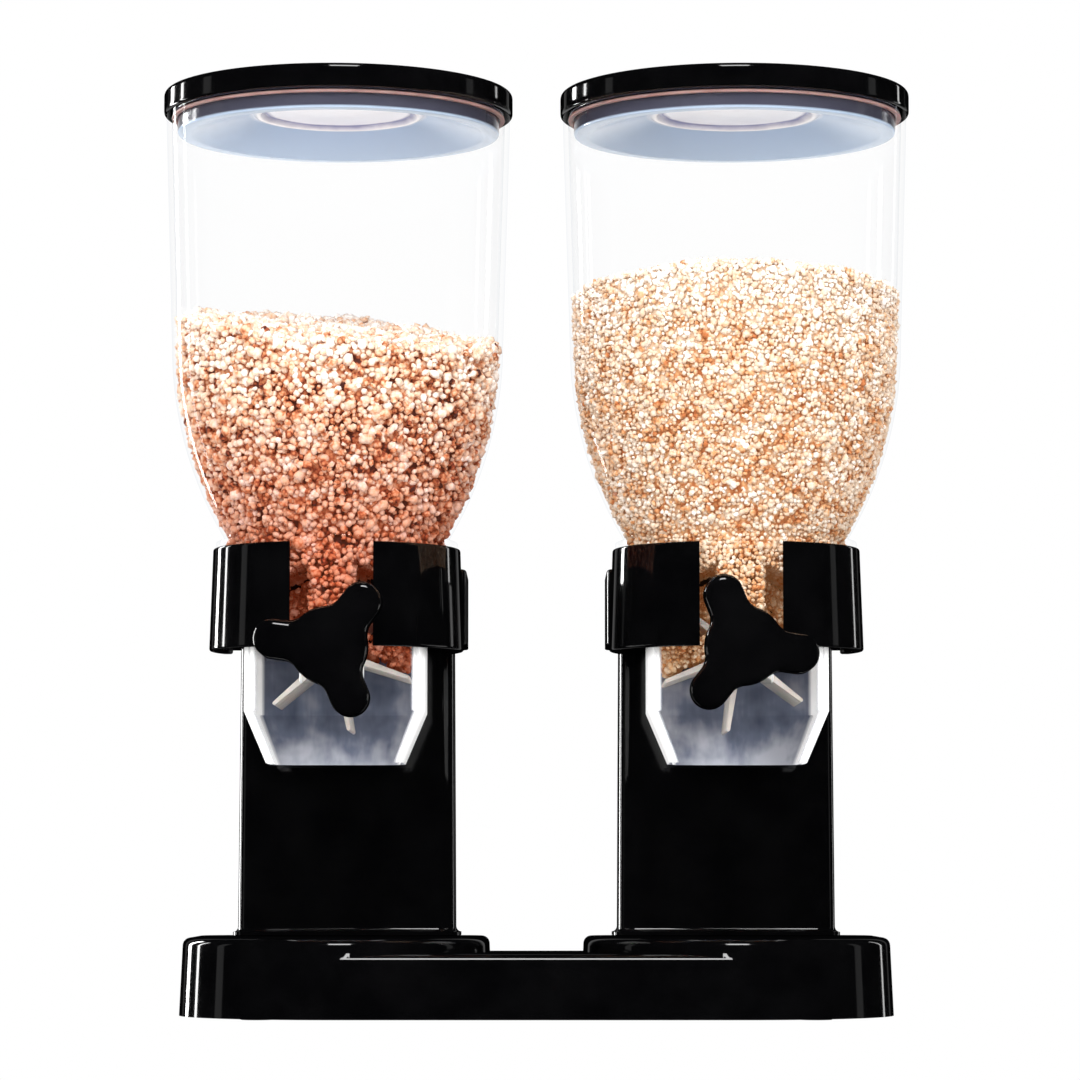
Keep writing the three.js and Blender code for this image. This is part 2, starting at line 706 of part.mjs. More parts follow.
function knob() {
  const body = toSolid(raisedForward(knobOutline(0), KNOB_BACK, KNOB_FRONT + KNOB_BEVEL));
  const face = toSolid(raisedForward(knobOutline(KNOB_BEVEL), KNOB_BACK, KNOB_FRONT));
  const hub = rodBack(KNOB_HUB, KNOB_BACK - PAST, KNOB_HUB_BACK, 0, 0, MIDDLE_ROUND);
  return cut(joined([body, face, hub]), [
    rodBack(SHAFT_RADIUS + GAP, SHAFT_FRONT - GAP, KNOB_HUB_BACK + PAST),
  ]);
}

// A C-shaped retaining clip on the shaft's rear end.
function shaftClip() {
  const [from, to] = [CLIP_OPENING, 360 - CLIP_OPENING];
  const outline = new THREE.Shape([
    ...arc(0, 0, CLIP_RADIUS, from, to, MIDDLE_ROUND),
    ...arc(0, 0, SHAFT_RADIUS + GAP, to, from, MIDDLE_ROUND),
  ]);
  const back = SHAFT_BACK - CLIP_INSET;
  return toSolid(raisedForward(outline, back, back - CLIP_THICKNESS));
}

// ---- Lid ----

const LID_BOTTOM = RIM_Z + GAP;
const LID_UNDERSIDE = LID_TOP - LID_PLATE;

function lid() {
  const upperEdge = arc(LID_RADIUS - LID_EDGE, LID_TOP - LID_EDGE, LID_EDGE, 0, 90, EDGE_STEPS);
  return toSolid(
    turnedUp([
      [0, LID_UNDERSIDE],
      [LID_RADIUS - LID_RIM, LID_UNDERSIDE],
      [LID_RADIUS - LID_RIM, LID_BOTTOM],
      [LID_RADIUS, LID_BOTTOM],
      ...upperEdge.map((point) => [point.x, point.y]),
      [0, LID_TOP],
    ]),
  );
}

// The hollow plug that fills the hopper's mouth. Its underside is a shallow dish with a flat middle disc.
function lidLiner() {
  const skin = CLEAR_WALL;
  const flange = LID_RADIUS - LID_RIM - GAP;
  const top = LID_UNDERSIDE - GAP;
  return toSolid(
    turnedUp([
      [0, DISC_Z],
      [DISC_RADIUS, DISC_Z],
      [DISC_RADIUS, DISC_Z - DISC_STEP],
      [DISH_RADIUS, PLUG_BOTTOM],
      [PLUG_RADIUS - PLUG_CHAMFER, PLUG_BOTTOM],
      [PLUG_RADIUS, PLUG_BOTTOM + PLUG_CHAMFER],
      [PLUG_RADIUS, LID_BOTTOM],
      [flange, LID_BOTTOM],
      [flange, top],
      [PLUG_RADIUS - skin, top],
      [PLUG_RADIUS - skin, PLUG_BOTTOM + skin],
      [DISH_RADIUS, PLUG_BOTTOM + skin],
      [DISC_RADIUS, DISC_Z + skin],
      [0, DISC_Z + skin],
    ]),
  );
}

function lidSeal() {
  const inner = PLUG_RADIUS + GAP;
  const top = RIM_Z - GAP;
  const profile = [
    [inner, SEAL_BOTTOM],
    [SEAL_RADIUS - SEAL_CHAMFER, SEAL_BOTTOM],
    [SEAL_RADIUS, SEAL_BOTTOM + SEAL_CHAMFER],
    [SEAL_RADIUS, top],
    [inner, top],
  ];
  return toSolid(turnedUp([...profile, profile[0]]));
}

// ---- Assembly ----

// What both sides share, made once.
const solids = {
  post: post(),
  postCover: postCover(),
  cradle: { left: cradle(POST_SHIFT), right: cradle(-POST_SHIFT) },
  canister: canister(),
  frontBush: bush(
    -1,
    KEY_FRONT - GAP - FRONT_BUSH_THICKNESS,
    FRONT_BUSH_THICKNESS,
    FRONT_BUSH_FLANGE,
    FRONT_BUSH_RADIUS,
  ),
  rearBush: bush(
    1,
    SPOUT_HALF * SPOUT_DEPTH_RATIO + GAP + REAR_BUSH_THICKNESS,
    REAR_BUSH_THICKNESS,
    REAR_BUSH_FLANGE,
    REAR_BUSH_RADIUS,
  ),
  shaft: driveShaft(),
  wheel: paddleWheel(),
  knob: knob(),
  clip: shaftClip(),
  lid: lid(),
  liner: lidLiner(),
  seal: lidSeal(),
  screw: toSolid(screw()),
};

// One whole dispenser on its post, with its hopper's axis on the group's own Z axis.
function dispenser(side) {
  const group = new THREE.Group();
  group.position.x = side.x;
  const add = (name, solid, material, parent = group) => {
    const made = mesh(`${side.name}_${name}`, solid, material);
    parent.add(made);
    return made;
  };

  const upright = new THREE.Group();
  upright.position.x = postX(side) - side.x;
  group.add(upright);
  add("post", solids.post, glossBlack(), upright);
  add("post_cover", solids.postCover, satinBlack(), upright);
  COVER_SCREWS.forEach((z, i) => {
    const made = add(`post_cover_screw_${i + 1}`, solids.screw, steel(), upright);
    made.position.set(0, POST_BACK + GAP, z);
    made.rotation.x = Math.PI / 2;
  });
  [-POST_SCREW_X, POST_SCREW_X].forEach((x, i) => {
    const foot = add(`post_foot_screw_${i + 1}`, solids.screw, steel(), upright);
    foot.position.set(x, POST_SCREW_Y, LOBE_TOP - WALL - GAP);
    const head = add(`cradle_screw_${i + 1}`, solids.screw, steel(), upright);
    head.position.set(x, POST_SCREW_Y, POST_TOP - WALL - GAP);
  });
  add("cradle", solids.cradle[side.name], glossBlack());
  add("canister", solids.canister, clearPlastic());
  add("lid", solids.lid, glossBlack());
  add("lid_liner", solids.liner, blueGrey());
  add("lid_seal", solids.seal, blushSilicone());

  const drive = new THREE.Group();
  drive.position.z = SHAFT_Z;
  group.add(drive);
  add("front_bush", solids.frontBush, satinBlack(), drive);
  add("rear_bush", solids.rearBush, satinBlack(), drive);
  add("drive_shaft", solids.shaft, steel(), drive);
  add("shaft_clip", solids.clip, steel(), drive);
  add("paddle_wheel", solids.wheel, silicone(), drive).rotation.y = -radians(side.blade);
  add("knob", solids.knob, glossBlack(), drive).rotation.y = -radians(side.knob);
  return group;
}

const dispenserPair = new THREE.Group();
dispenserPair.add(base());
for (const side of SIDES) dispenserPair.add(dispenser(side));

export default dispenserPair;
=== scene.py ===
"""Looks of the twin cereal dispenser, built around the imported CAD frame. Metres, +Z up, front faces -Y."""

import json
import math

import bmesh
import bpy
import numpy as np
from mathutils import Matrix, Vector


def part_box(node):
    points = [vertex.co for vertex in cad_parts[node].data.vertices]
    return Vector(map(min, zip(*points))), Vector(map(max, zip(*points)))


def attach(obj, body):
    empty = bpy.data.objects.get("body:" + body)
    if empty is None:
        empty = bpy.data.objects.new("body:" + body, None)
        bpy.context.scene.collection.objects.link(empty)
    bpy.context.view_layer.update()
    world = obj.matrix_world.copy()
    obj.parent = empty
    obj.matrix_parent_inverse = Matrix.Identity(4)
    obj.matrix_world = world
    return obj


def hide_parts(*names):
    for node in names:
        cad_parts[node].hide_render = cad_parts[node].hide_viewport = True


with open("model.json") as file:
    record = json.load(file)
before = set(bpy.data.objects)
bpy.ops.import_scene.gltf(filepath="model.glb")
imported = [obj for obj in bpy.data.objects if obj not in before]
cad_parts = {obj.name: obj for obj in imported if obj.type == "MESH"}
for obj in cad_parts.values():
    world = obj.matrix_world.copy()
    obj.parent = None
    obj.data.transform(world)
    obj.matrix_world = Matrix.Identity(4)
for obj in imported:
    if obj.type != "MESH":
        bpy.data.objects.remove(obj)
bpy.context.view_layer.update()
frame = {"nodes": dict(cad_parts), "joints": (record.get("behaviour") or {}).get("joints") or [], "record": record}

MM = 0.001
GAP = 0.3 * MM
PLUG_RADIUS = 68.5 * MM
DISH_RADIUS = 62 * MM
DISC_RADIUS = 34 * MM
DISC_RISE = 10 * MM
SIDES = ("left", "right")
RING_ROUND = 160  # facets of the cradle ring
ROUND = 128  # of the lid and what is under it
HOPPER_ROUND = 96
HALF_ROUND = 64  # of a half circle of the base, and of a bearing
DRIVE_ROUND = 48
SMALL_ROUND = 32
SCREW_ROUND = 24
CORNER_STEPS = 12
SEED = 20

# ---- Places read from the frame ----


def middle(node):
    """Centre of a node's box."""
    low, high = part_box(node)
    return (low + high) / 2


def joint(name):
    return next(j for j in frame["joints"] if j["name"] == name)


def half_width(node):
    low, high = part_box(node)
    return (high.x - low.x) / 2


HOPPER_X = {side: joint(f"{side}_drive_turn")["pos_m"][0] for side in SIDES}
SHAFT_Z = joint("left_drive_turn")["pos_m"][2]
HOPPER_LOW, HOPPER_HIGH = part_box("left_canister")
MOUTH_Z, RIM_Z = HOPPER_LOW.z, HOPPER_HIGH.z

# ---- Meshes ----


def piece(name, vertices, faces):
    """A new mesh object from points and faces, its normals made consistent."""
    mesh = bpy.data.meshes.new(name)
    mesh.from_pydata([tuple(v) for v in vertices], [], faces)
    mesh.validate()
    made = bpy.data.objects.new(name, mesh)
    bpy.context.scene.collection.objects.link(made)
    tidy(made)
    return made


def tidy(made):
    """Merges doubled points and turns all faces outward."""
    work = bmesh.new()
    work.from_mesh(made.data)
    bmesh.ops.remove_doubles(work, verts=work.verts, dist=1e-7)
    bmesh.ops.dissolve_degenerate(work, edges=work.edges, dist=1e-7)
    bmesh.ops.recalc_face_normals(work, faces=work.faces)
    work.to_mesh(made.data)
    work.free()


def applied(made):
    """Applies every modifier of a piece."""
    graph = bpy.context.evaluated_depsgraph_get()
    mesh = bpy.data.meshes.new_from_object(made.evaluated_get(graph), depsgraph=graph)
    made.modifiers.clear()
    made.data = mesh
    return made


def boolean(made, operation, tools):
    """Cuts a piece with, or joins it to, other pieces, which it uses up."""
    for tool in tools:
        modifier = made.modifiers.new("cut", "BOOLEAN")
        modifier.operation = operation
        modifier.solver = "MANIFOLD"
        modifier.object = tool
        bpy.context.view_layer.update()
        applied(made)
        bpy.data.objects.remove(tool)
    tidy(made)
    return made


def cut(made, *tools):
    return boolean(made, "DIFFERENCE", tools)


def joined(made, *tools):
    return boolean(made, "UNION", tools)


def bevelled(made, width, segments=2, angle=35):
    """Rounds the sharp edges of a piece."""
    modifier = made.modifiers.new("edges", "BEVEL")
    modifier.width = width
    modifier.segments = segments
    modifier.limit_method = "ANGLE"
    modifier.angle_limit = math.radians(angle)
    bpy.context.view_layer.update()
    return applied(made)


def smooth(made, angle=40):
    """Smooth shading, with edges over the angle left sharp, and normals that keep flat faces flat."""
    made.data.shade_smooth()
    made.data.set_sharp_from_angle(angle=math.radians(angle))
    modifier = made.modifiers.new("flat faces", "WEIGHTED_NORMAL")
    modifier.keep_sharp = True
    return made


def placed(made, x=0.0, y=0.0, z=0.0):
    made.data.transform(Matrix.Translation((x, y, z)))
    return made


def turned_to_axis(made, axis):
    """Turns a piece made along +Z to point along +Y or -Y."""
    angle = {"+y": -90, "-y": 90}[axis]
    made.data.transform(Matrix.Rotation(math.radians(angle), 4, "X"))
    return made


def spun(made, angle):
    """Turns a piece made along +Z about that axis."""
    made.data.transform(Matrix.Rotation(math.radians(angle), 4, "Z"))
    return made


# ---- Outlines ----


def arc(x, y, radius, start, end, steps):
    """Points of an arc between two angles in degrees."""
    angles = np.radians(np.linspace(start, end, steps + 1))
    return [(x + radius * math.cos(a), y + radius * math.sin(a)) for a in angles]


def rounded_rectangle(half_x, half_y, corner, steps=8):
    x, y = half_x - corner, half_y - corner
    corners = ((x, y, 0), (-x, y, 90), (-x, -y, 180), (x, -y, 270))
    return [p for cx, cy, start in corners for p in arc(cx, cy, corner, start, start + 90, steps)]


def filleted(profile, radius, steps=5):
    """A polyline with its corners rounded to a radius, or to less where a stretch is short."""
    points = [Vector(p) for p in profile]
    made = [points[0]]
    for before, corner, after in zip(points, points[1:], points[2:]):
        back, ahead = before - corner, after - corner
        bend = back.angle(ahead, math.pi)
        if bend > math.radians(176):
            made.append(corner)
            continue
        reach = min(radius / math.tan(bend / 2), back.length * 0.45, ahead.length * 0.45)
        start, end = corner + back.normalized() * reach, corner + ahead.normalized() * reach
        for i in range(steps + 1):
            t = i / steps
            made.append(start * (1 - t) ** 2 + corner * 2 * t * (1 - t) + end * t**2)
    made.append(points[-1])
    return [tuple(p) for p in made]


def filleted_loop(profile, radius, steps):
    """A closed profile with all its corners rounded."""
    return filleted([*profile, profile[0], profile[1]], radius, steps)[1:-1]


# ---- Forms ----


def loft(name, rings):
    """A skin over rings of equal length, capped at both ends."""
    count = len(rings[0])
    vertices = [p for ring in rings for p in ring]
    faces = []
    for level in range(len(rings) - 1):
        for i in range(count):
            j = (i + 1) % count
            a, b = level * count, (level + 1) * count
            faces.append((a + i, a + j, b + j, b + i))
    faces.append(tuple(reversed(range(count))))
    faces.append(tuple(range((len(rings) - 1) * count, len(rings) * count)))
    return piece(name, vertices, faces)


def revolved(name, profile, facets=ROUND, shape=None):
    """A profile of (radius, height) turned about +Z. It starts and ends on the axis, or closes on itself.
    shape(x, y, z) may move each point."""
    on_axis = profile[0][0] == 0
    count = len(profile)
    vertices, faces = [], []
    for step in range(facets):
        angle = 2 * math.pi * step / facets
        for r, z in profile:
            point = (r * math.cos(angle), r * math.sin(angle), z)
            vertices.append(shape(*point) if shape else point)
    for step in range(facets):
        a, b = step * count, ((step + 1) % facets) * count
        for i in range(count - 1 if on_axis else count):
            j = (i + 1) % count
            faces.append((a + i, b + i, b + j, a + j))
    return piece(name, vertices, faces)


def rounded_levels(low, high, low_edge, high_edge, steps=5):
    """(height, inset) pairs of a wall with a rounded lower and upper edge."""
    turns = [math.radians(90 * i / steps) for i in range(steps + 1)]
    levels = [(low + low_edge * (1 - math.cos(a)), low_edge * (1 - math.sin(a))) for a in turns]
    levels += [(high - high_edge * (1 - math.sin(a)), high_edge * (1 - math.cos(a))) for a in turns]
    return [level for i, level in enumerate(levels) if i == 0 or level != levels[i - 1]]


def slab(name, outline, low, high, low_edge=0.0, high_edge=0.0, steps=5):
    """outline(inset) raised from low to high, with rounded edges."""
    levels = rounded_levels(low, high, low_edge, high_edge, steps)
    return loft(name, [[(x, y, z) for x, y in outline(inset)] for z, inset in levels])


def box_piece(name, low, high):
    (x0, y0, z0), (x1, y1, z1) = low, high
    outline = [(x0, y0), (x1, y0), (x1, y1), (x0, y1)]
    return loft(name, [[(x, y, z) for x, y in outline] for z in (z0, z1)])


def rod(name, radius, low, high, facets=SMALL_ROUND):
    return revolved(name, [(0, low), (radius, low), (radius, high), (0, high)], facets)


# ---- Material nodes ----


def link(material, source, target):
    material.node_tree.links.new(source, target)


def feed(material, target, **inputs):
    """Sets a node's inputs to values, or links sockets to them. An underscore stands for a name's space."""
    for key, source in inputs.items():
        slot = target.inputs[key.replace("_", " ")]
        if isinstance(source, bpy.types.NodeSocket):
            link(material, source, slot)
        else:
            slot.default_value = source


def node(material, kind, **settings):
    """A new node, from its own settings and its inputs."""
    made = material.node_tree.nodes.new(kind)
    for key, value in settings.items():
        if hasattr(made, key):
            setattr(made, key, value)
        else:
            feed(material, made, **{key: value})
    return made


def shader(name, roughness=0.5, **inputs):
    """A new material with its Principled shader."""
    made = bpy.data.materials.new(name)
    made.use_nodes = True
    surface = made.node_tree.nodes["Principled BSDF"]
    feed(made, surface, Roughness=roughness, **inputs)
    return made, surface


def coordinates(material, kind="Object"):
    """X, Y and Z of the object coordinates, of the "Normal", or of the world's "Generated" direction."""
    place = node(material, "ShaderNodeTexCoord").outputs[kind]
    return node(material, "ShaderNodeSeparateXYZ", Vector=place).outputs


def noise(material, scale, detail=4.0, roughness=0.55, stretch=(1, 1, 1)):
    """Noise in object coordinates, so that it rides with the piece. A small stretch gives long streaks."""
    place = node(material, "ShaderNodeTexCoord").outputs["Object"]
    scaled = node(material, "ShaderNodeMapping", Scale=stretch, Vector=place).outputs["Vector"]
    look = {"Scale": scale, "Detail": detail, "Roughness": roughness}
    return node(material, "ShaderNodeTexNoise", **look, Vector=scaled).outputs["Fac"]


def ramp(material, value, stops):
    """A colour ramp over a value, from (position, colour) pairs."""
    made = node(material, "ShaderNodeValToRGB")
    elements = made.color_ramp.elements
    while len(elements) < len(stops):
        elements.new(0.5)
    for element, (position, colour) in zip(elements, stops):
        element.position = position
        element.color = (*colour, 1.0)
    link(material, value, made.inputs["Fac"])
    return made.outputs["Color"]


def ranged(material, value, low, high, start=0.0, end=1.0):
    """A value mapped from [start, end] to [low, high]."""
    limits = {"From_Min": start, "From_Max": end, "To_Min": low, "To_Max": high}
    return node(material, "ShaderNodeMapRange", **limits, Value=value).outputs["Result"]


def bump(material, surface, height, distance, strength):
    made = node(material, "ShaderNodeBump", Strength=strength, Distance=distance, Height=height)
    feed(material, surface, Normal=made.outputs["Normal"])


def math_node(material, operation, first, second=None):
    """A calculation with one or two values; the second may be a plain number."""
    made = node(material, "ShaderNodeMath", operation=operation)
    link(material, first, made.inputs[0])
    if isinstance(second, float):
        made.inputs[1].default_value = second
    elif second is not None:
        link(material, second, made.inputs[1])
    return made.outputs[0]


def mixed(material, share, first, second, blend="MIX"):
    """A colour mixed by a share with a second colour, which is three numbers or a socket."""
    made = node(material, "ShaderNodeMix", data_type="RGBA", blend_type=blend)
    feed(material, made, Factor=share, A=first, B=(*second, 1) if isinstance(second, tuple) else second)
    return made.outputs["Result"]


def mix_shaders(material, share, first, second):
    made = node(material, "ShaderNodeMixShader")
    link(material, share, made.inputs[0])
    link(material, first, made.inputs[1])
    link(material, second, made.inputs[2])
    return made.outputs[0]


# ---- Materials ----


def grained(name, tones, roughness, relief, light_at=0.7, **inputs):
    """A material from three noises, each a (scale, detail). The first runs between two colours, the second
    between two roughnesses, and the third is a relief of some distance and strength."""
    made, surface = shader(name, **inputs)
    tone_noise, dark, light = tones
    rough_noise, low, high = roughness
    relief_noise, distance, strength = relief
    colour = ramp(made, noise(made, *tone_noise), [(0.3, dark), (light_at, light)])
    feed(made, surface, Base_Color=colour, Roughness=ranged(made, noise(made, *rough_noise), low, high))
    bump(made, surface, noise(made, *relief_noise), distance, strength)
    return made


def satin_black():
    """Spark-eroded black moulding."""
    tones = ((2600, 3), (0.008, 0.008, 0.009), (0.018, 0.018, 0.02))
    return grained("satin_black_plastic", tones, ((70, 4), 0.36, 0.52), ((2600, 3), 0.00008, 0.5))


def silicone(name, dark, light):
    """Flexible silicone with a soft waxy surface."""
    soft = {"Subsurface_Weight": 0.25, "Subsurface_Scale": 0.002}
    return grained(name, ((90, 4), dark, light), ((300, 3), 0.42, 0.6), ((900, 3), 0.00005, 0.3), **soft)


def foot_rubber():
    grain = (1800, 4)
    tones = (grain, (0.012, 0.012, 0.012), (0.035, 0.034, 0.033))
    return grained("foot_rubber", tones, (grain, 0.7, 0.95), (grain, 0.0001, 0.6), light_at=0.75)


def steel():
    """Bright plated steel with fine turning marks."""
    tones = ((700, 5), (0.5, 0.51, 0.53), (0.72, 0.73, 0.75))
    return grained("steel", tones, ((2200, 2), 0.16, 0.34), ((2400, 2), 0.00003, 0.35), Metallic=1.0)


def gloss_black():
    """Polished black moulding, with faint smears and a trace of ripple from the mould. Its outline stays
    black, since the shine fades where the surface turns away."""
    made, surface = shader("gloss_black_plastic")
    edge = node(made, "ShaderNodeLayerWeight", Blend=0.5).outputs["Facing"]
    smears = noise(made, 55, 5)
    dark = ramp(made, smears, [(0.35, (0.0008, 0.0008, 0.001)), (0.7, (0.0018, 0.0018, 0.002))])
    roughness = ranged(made, smears, 0.05, 0.09, 0.3, 0.75)
    shine = ranged(made, edge, 0.3, 0.0, 0.6, 0.8)
    feed(made, surface, Base_Color=dark, Roughness=roughness, Specular_IOR_Level=shine)
    bump(made, surface, noise(made, 30, 2), 0.0002, 0.03)
    return made


def clear_plastic():
    """Polished clear moulding: nearly invisible over its bowl, and milky on the thicker side and rear walls of the
    channel below the collar.
    That milky blue-grey is partly the walls' own haze and partly painted shade of the channel inside, and is paler
    towards the mouth;
    on the side walls it turns to a near-white painted light that glows as well."""
    made, milk_and_painted_light = shader("clear_plastic", 0.22, Specular_IOR_Level=0.2, Emission_Color=(1, 1, 1, 1))
    point = coordinates(made)
    low = ranged(made, point["Z"], 1.0, 0.0, 0.149, 0.157)
    sideways = math_node(made, "ABSOLUTE", coordinates(made, "Normal")["X"])
    # Painted light: the side walls turn near-white and give off light; the rear wall takes the milky blue-grey.
    side = ranged(made, sideways, 0.0, 1.0, 0.68, 0.86)
    back = ranged(made, point["Y"], 0.0, 0.8, 0.006, 0.014)
    share = math_node(made, "MULTIPLY", math_node(made, "MAXIMUM", side, back), low)
    streaks = noise(made, 130, 3, 0.6, (1, 1, 0.1))
    clouds = math_node(made, "ADD", math_node(made, "MULTIPLY", streaks, 0.45), noise(made, 45, 3))
    lower = ranged(made, point["Z"], 0.22, 0.0, MOUTH_Z, MOUTH_Z + 18 * MM)
    pale = math_node(made, "ADD", clouds, lower)
    # Blue-grey tones: partly the walls' own haze, partly painted shade of the channel inside.
    tones = [(0.5, (0.1, 0.125, 0.19)), (0.72, (0.21, 0.24, 0.33)), (1.05, (0.62, 0.64, 0.72))]
    colour = mixed(made, side, ramp(made, pale, tones), (0.95, 0.95, 0.94))
    feed(made, milk_and_painted_light, Base_Color=colour, Emission_Strength=ranged(made, side, 0.0, 0.4))

    facing = node(made, "ShaderNodeLayerWeight", Blend=0.5).outputs["Facing"]
    stops = [(0.0, (1.0, 1.0, 1.0)), (0.8, (0.997, 0.998, 0.999)), (1.0, (0.93, 0.94, 0.95))]
    see = node(made, "ShaderNodeBsdfTransparent", Color=ramp(made, facing, stops))
    roughness = ranged(made, noise(made, 40, 4), 0.02, 0.06, 0.3, 0.75)
    gloss = node(made, "ShaderNodeBsdfGlossy", Color=(1, 1, 1, 1), Roughness=roughness)
    bump(made, gloss, noise(made, 18, 2), 0.0003, 0.05)
    grazing = math_node(made, "POWER", facing, 4.0)
    outside = ranged(made, node(made, "ShaderNodeNewGeometry").outputs["Backfacing"], 1.0, 0.0)
    polish = math_node(made, "MULTIPLY", ranged(made, grazing, 0.006, 0.12), outside)
    polished = mix_shaders(made, polish, see.outputs[0], gloss.outputs[0])
    # The milky colour, with its painted light and shade, over the clear surface.
    with_painted_milk = mix_shaders(made, share, polished, milk_and_painted_light.outputs[0])
    link(made, with_painted_milk, made.node_tree.nodes["Material Output"].inputs["Surface"])
    return made


def smoke_blue():
    """Smoky blue-grey plug: dark on its upright wall, as painted shade; pale blue on its dished underside, as
    painted light from the floor below, brightest towards the back; nearly white on the disc and its bead, as
    painted light coming through, with a darker ring of painted shade just inside the bead."""
    made, surface = shader("smoke_blue_plastic")
    radius = node(made, "ShaderNodeAttribute", attribute_name="radius").outputs["Fac"]
    streaks = ranged(made, noise(made, 70, 3), -0.008, 0.008, 0.3, 0.7)
    disc = DISC_RADIUS / PLUG_RADIUS
    # Painted light and shade by radius: the disc and bead near-white with light coming through, a darker ring of
    # painted shade inside the bead, and the dish pale blue with floor light.
    underside = ramp(
        made,
        math_node(made, "ADD", radius, streaks),
        [
            (disc - 0.075, (0.9, 0.93, 1.0)),
            (disc - 0.045, (0.2, 0.22, 0.42)),
            (disc, (0.98, 0.98, 1.0)),
            (disc + 0.06, (0.41, 0.53, 0.72)),
            (1.0, (0.49, 0.61, 0.77)),
        ],
    )
    point = coordinates(made)
    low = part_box("left_lid_liner")[0].z
    # Painted shade: the upright wall is made dark.
    outer = ranged(made, radius, 0.0, 1.0, 0.97, 0.985)
    risen = ranged(made, point["Z"], 0.0, 1.0, low + 0.5 * MM, low + 1.4 * MM)
    wall = math_node(made, "MULTIPLY", outer, risen)
    # Painted floor light, brighter towards the back.
    painted_floor_light = mixed(made, 1.0, underside, ranged(made, point["Y"], 0.8, 1.25, -0.06, 0.06), "MULTIPLY")
    roughness = ranged(made, noise(made, 60, 4), 0.1, 0.25, 0.3, 0.75)
    feed(made, surface, Base_Color=mixed(made, wall, painted_floor_light, (0.045, 0.045, 0.065)), Roughness=roughness)
    return made


def cereal_material(name, stops, low_tint, low_z, high_z, pale_z, painted_glow, painted_low_glow):
    """Toasted grains: each has its own tone. They are palest near the top of the fill, from pale_z up, and turn
    browner below high_z, down to low_z. They also give off a warm light, its strength set apart for the lower
    grains: painted light in place of the light that passes between them."""
    made, surface = shader(name, 0.75, Specular_IOR_Level=0.2, Emission_Color=(*painted_glow, 1))
    height = coordinates(made)["Z"]
    tone = node(made, "ShaderNodeAttribute", attribute_name="tone").outputs["Fac"]
    place = node(made, "ShaderNodeTexCoord").outputs["Object"]
    flakes = node(made, "ShaderNodeTexVoronoi", Scale=620.0, Vector=place)
    cracks = ranged(made, flakes.outputs["Distance"], 0.08, -0.2, 0.35, 0.85)
    patches = ranged(made, noise(made, 110, 3), -0.34, 0.14, 0.3, 0.6)
    pale = ranged(made, height, 0.0, 0.35, pale_z, pale_z + 0.06)
    summed = tone
    for share in (cracks, patches, pale):
        summed = math_node(made, "ADD", summed, share)
    depth = ranged(made, height, 1.0, 0.0, low_z, high_z)
    colour = mixed(made, depth, ramp(made, summed, stops), low_tint, "MULTIPLY")
    # Painted light: the grains give off a warm light, its strength set by height.
    feed(made, surface, Base_Color=colour, Emission_Strength=ranged(made, depth, 1.0, painted_low_glow))
    bump(made, surface, noise(made, 1600, 3), 0.0002, 0.5)
    return made


MATERIALS = {
    "gloss_black_plastic": gloss_black(),
    "satin_black_plastic": satin_black(),
    "clear_plastic": clear_plastic(),
    "smoke_blue_plastic": smoke_blue(),
    "white_silicone": silicone("white_silicone", (0.5, 0.46, 0.42), (0.68, 0.64, 0.59)),
    "blush_silicone": silicone("blush_silicone", (0.32, 0.18, 0.165), (0.45, 0.28, 0.26)),
    "foot_rubber": foot_rubber(),
    "steel": steel(),
}
NODE_SLOT = {row["node"]: row["material_slot"] for row in frame["record"]["subparts"]}
NODE_BODY = {name: body for body, names in frame["record"]["behaviour"]["bodies"].items() for name in names}


def point_values(mesh, name, values):
    """A number for each point of a mesh, which its material reads by name."""
    mesh.attributes.new(name, "FLOAT", "POINT").data.foreach_set("value", values)


def stands_for(made, cad_node, angle=40):
    """Finishes a piece that replaces one CAD node: shading, material, body and slot."""
    smooth(made, angle)
    slot = NODE_SLOT[cad_node]
    made.data.materials.clear()
    made.data.materials.append(MATERIALS[slot])
    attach(made, NODE_BODY[cad_node])
    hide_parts(cad_node)


# ---- Base ----

WALL = 2.5 * MM
BASE_EDGE = 3.2 * MM
BASE_CORNER = 18 * MM
BASE_DRAFT = 1.5 * MM
BRIDGE_DROP = 6 * MM  # the bridge is this much lower than the end lobes
BRIDGE_BACK = 30 * MM


def base_shell():
    """Two end lobes and the lower bridge between them, hollow from below."""
    low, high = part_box("base_shell")
    left, right = HOPPER_X["left"], HOPPER_X["right"]
    radius = high.x - right

    def lobe(x):
        def outline(inset):
            r, b, c = radius - inset, high.y - inset, BASE_CORNER - min(inset, BASE_CORNER / 2)
            points = arc(0, 0, r, 180, 360, HALF_ROUND)
            points += arc(r - c, b - c, c, 0, 90, CORNER_STEPS)
            points += arc(c - r, b - c, c, 90, 180, CORNER_STEPS)
            return [(x + px, py) for px, py in points]

        return outline

    def bridge(inset):
        front, rear = inset - radius, BRIDGE_BACK - inset
        return [(left, front), (right, front), (right, rear), (left, rear)]

    def forms(first_name, bottom, thickness, edge):
        """The lobes and the bridge, with their walls and tops moved in by a thickness."""
        made = []
        outlines = ((lobe(left), high.z), (lobe(right), high.z), (bridge, high.z - BRIDGE_DROP))
        for name, (outline, top) in zip((first_name, "tool", "tool"), outlines):
            rings = []
            for z, inset in rounded_levels(bottom, top - thickness, 0.0, edge, 8):
                lean = BASE_DRAFT * z / high.z
                rings.append([(x, y, z) for x, y in outline(thickness + lean + inset)])
            made.append(loft(name, rings))
        return made

    shell = joined(*forms("base_moulding", low.z, 0.0, BASE_EDGE))
    stands_for(cut(shell, *forms("tool", -low.z, WALL, 0.0)), "base_shell", 30)


# ---- Screws and feet ----

SCREW_HEAD = 1.6 * MM  # height of the head
SCREW_SHANK = 1.5 * MM
SCREW_CORE = 0.8  # of the shank's radius, between the threads
SCREW_PITCH = 1.0 * MM
SCREW_TIP = 2 * MM
RECESS_ARM = 2.1 * MM
RECESS_WIDTH = 0.42 * MM
RECESS_DEPTH = 0.9 * MM


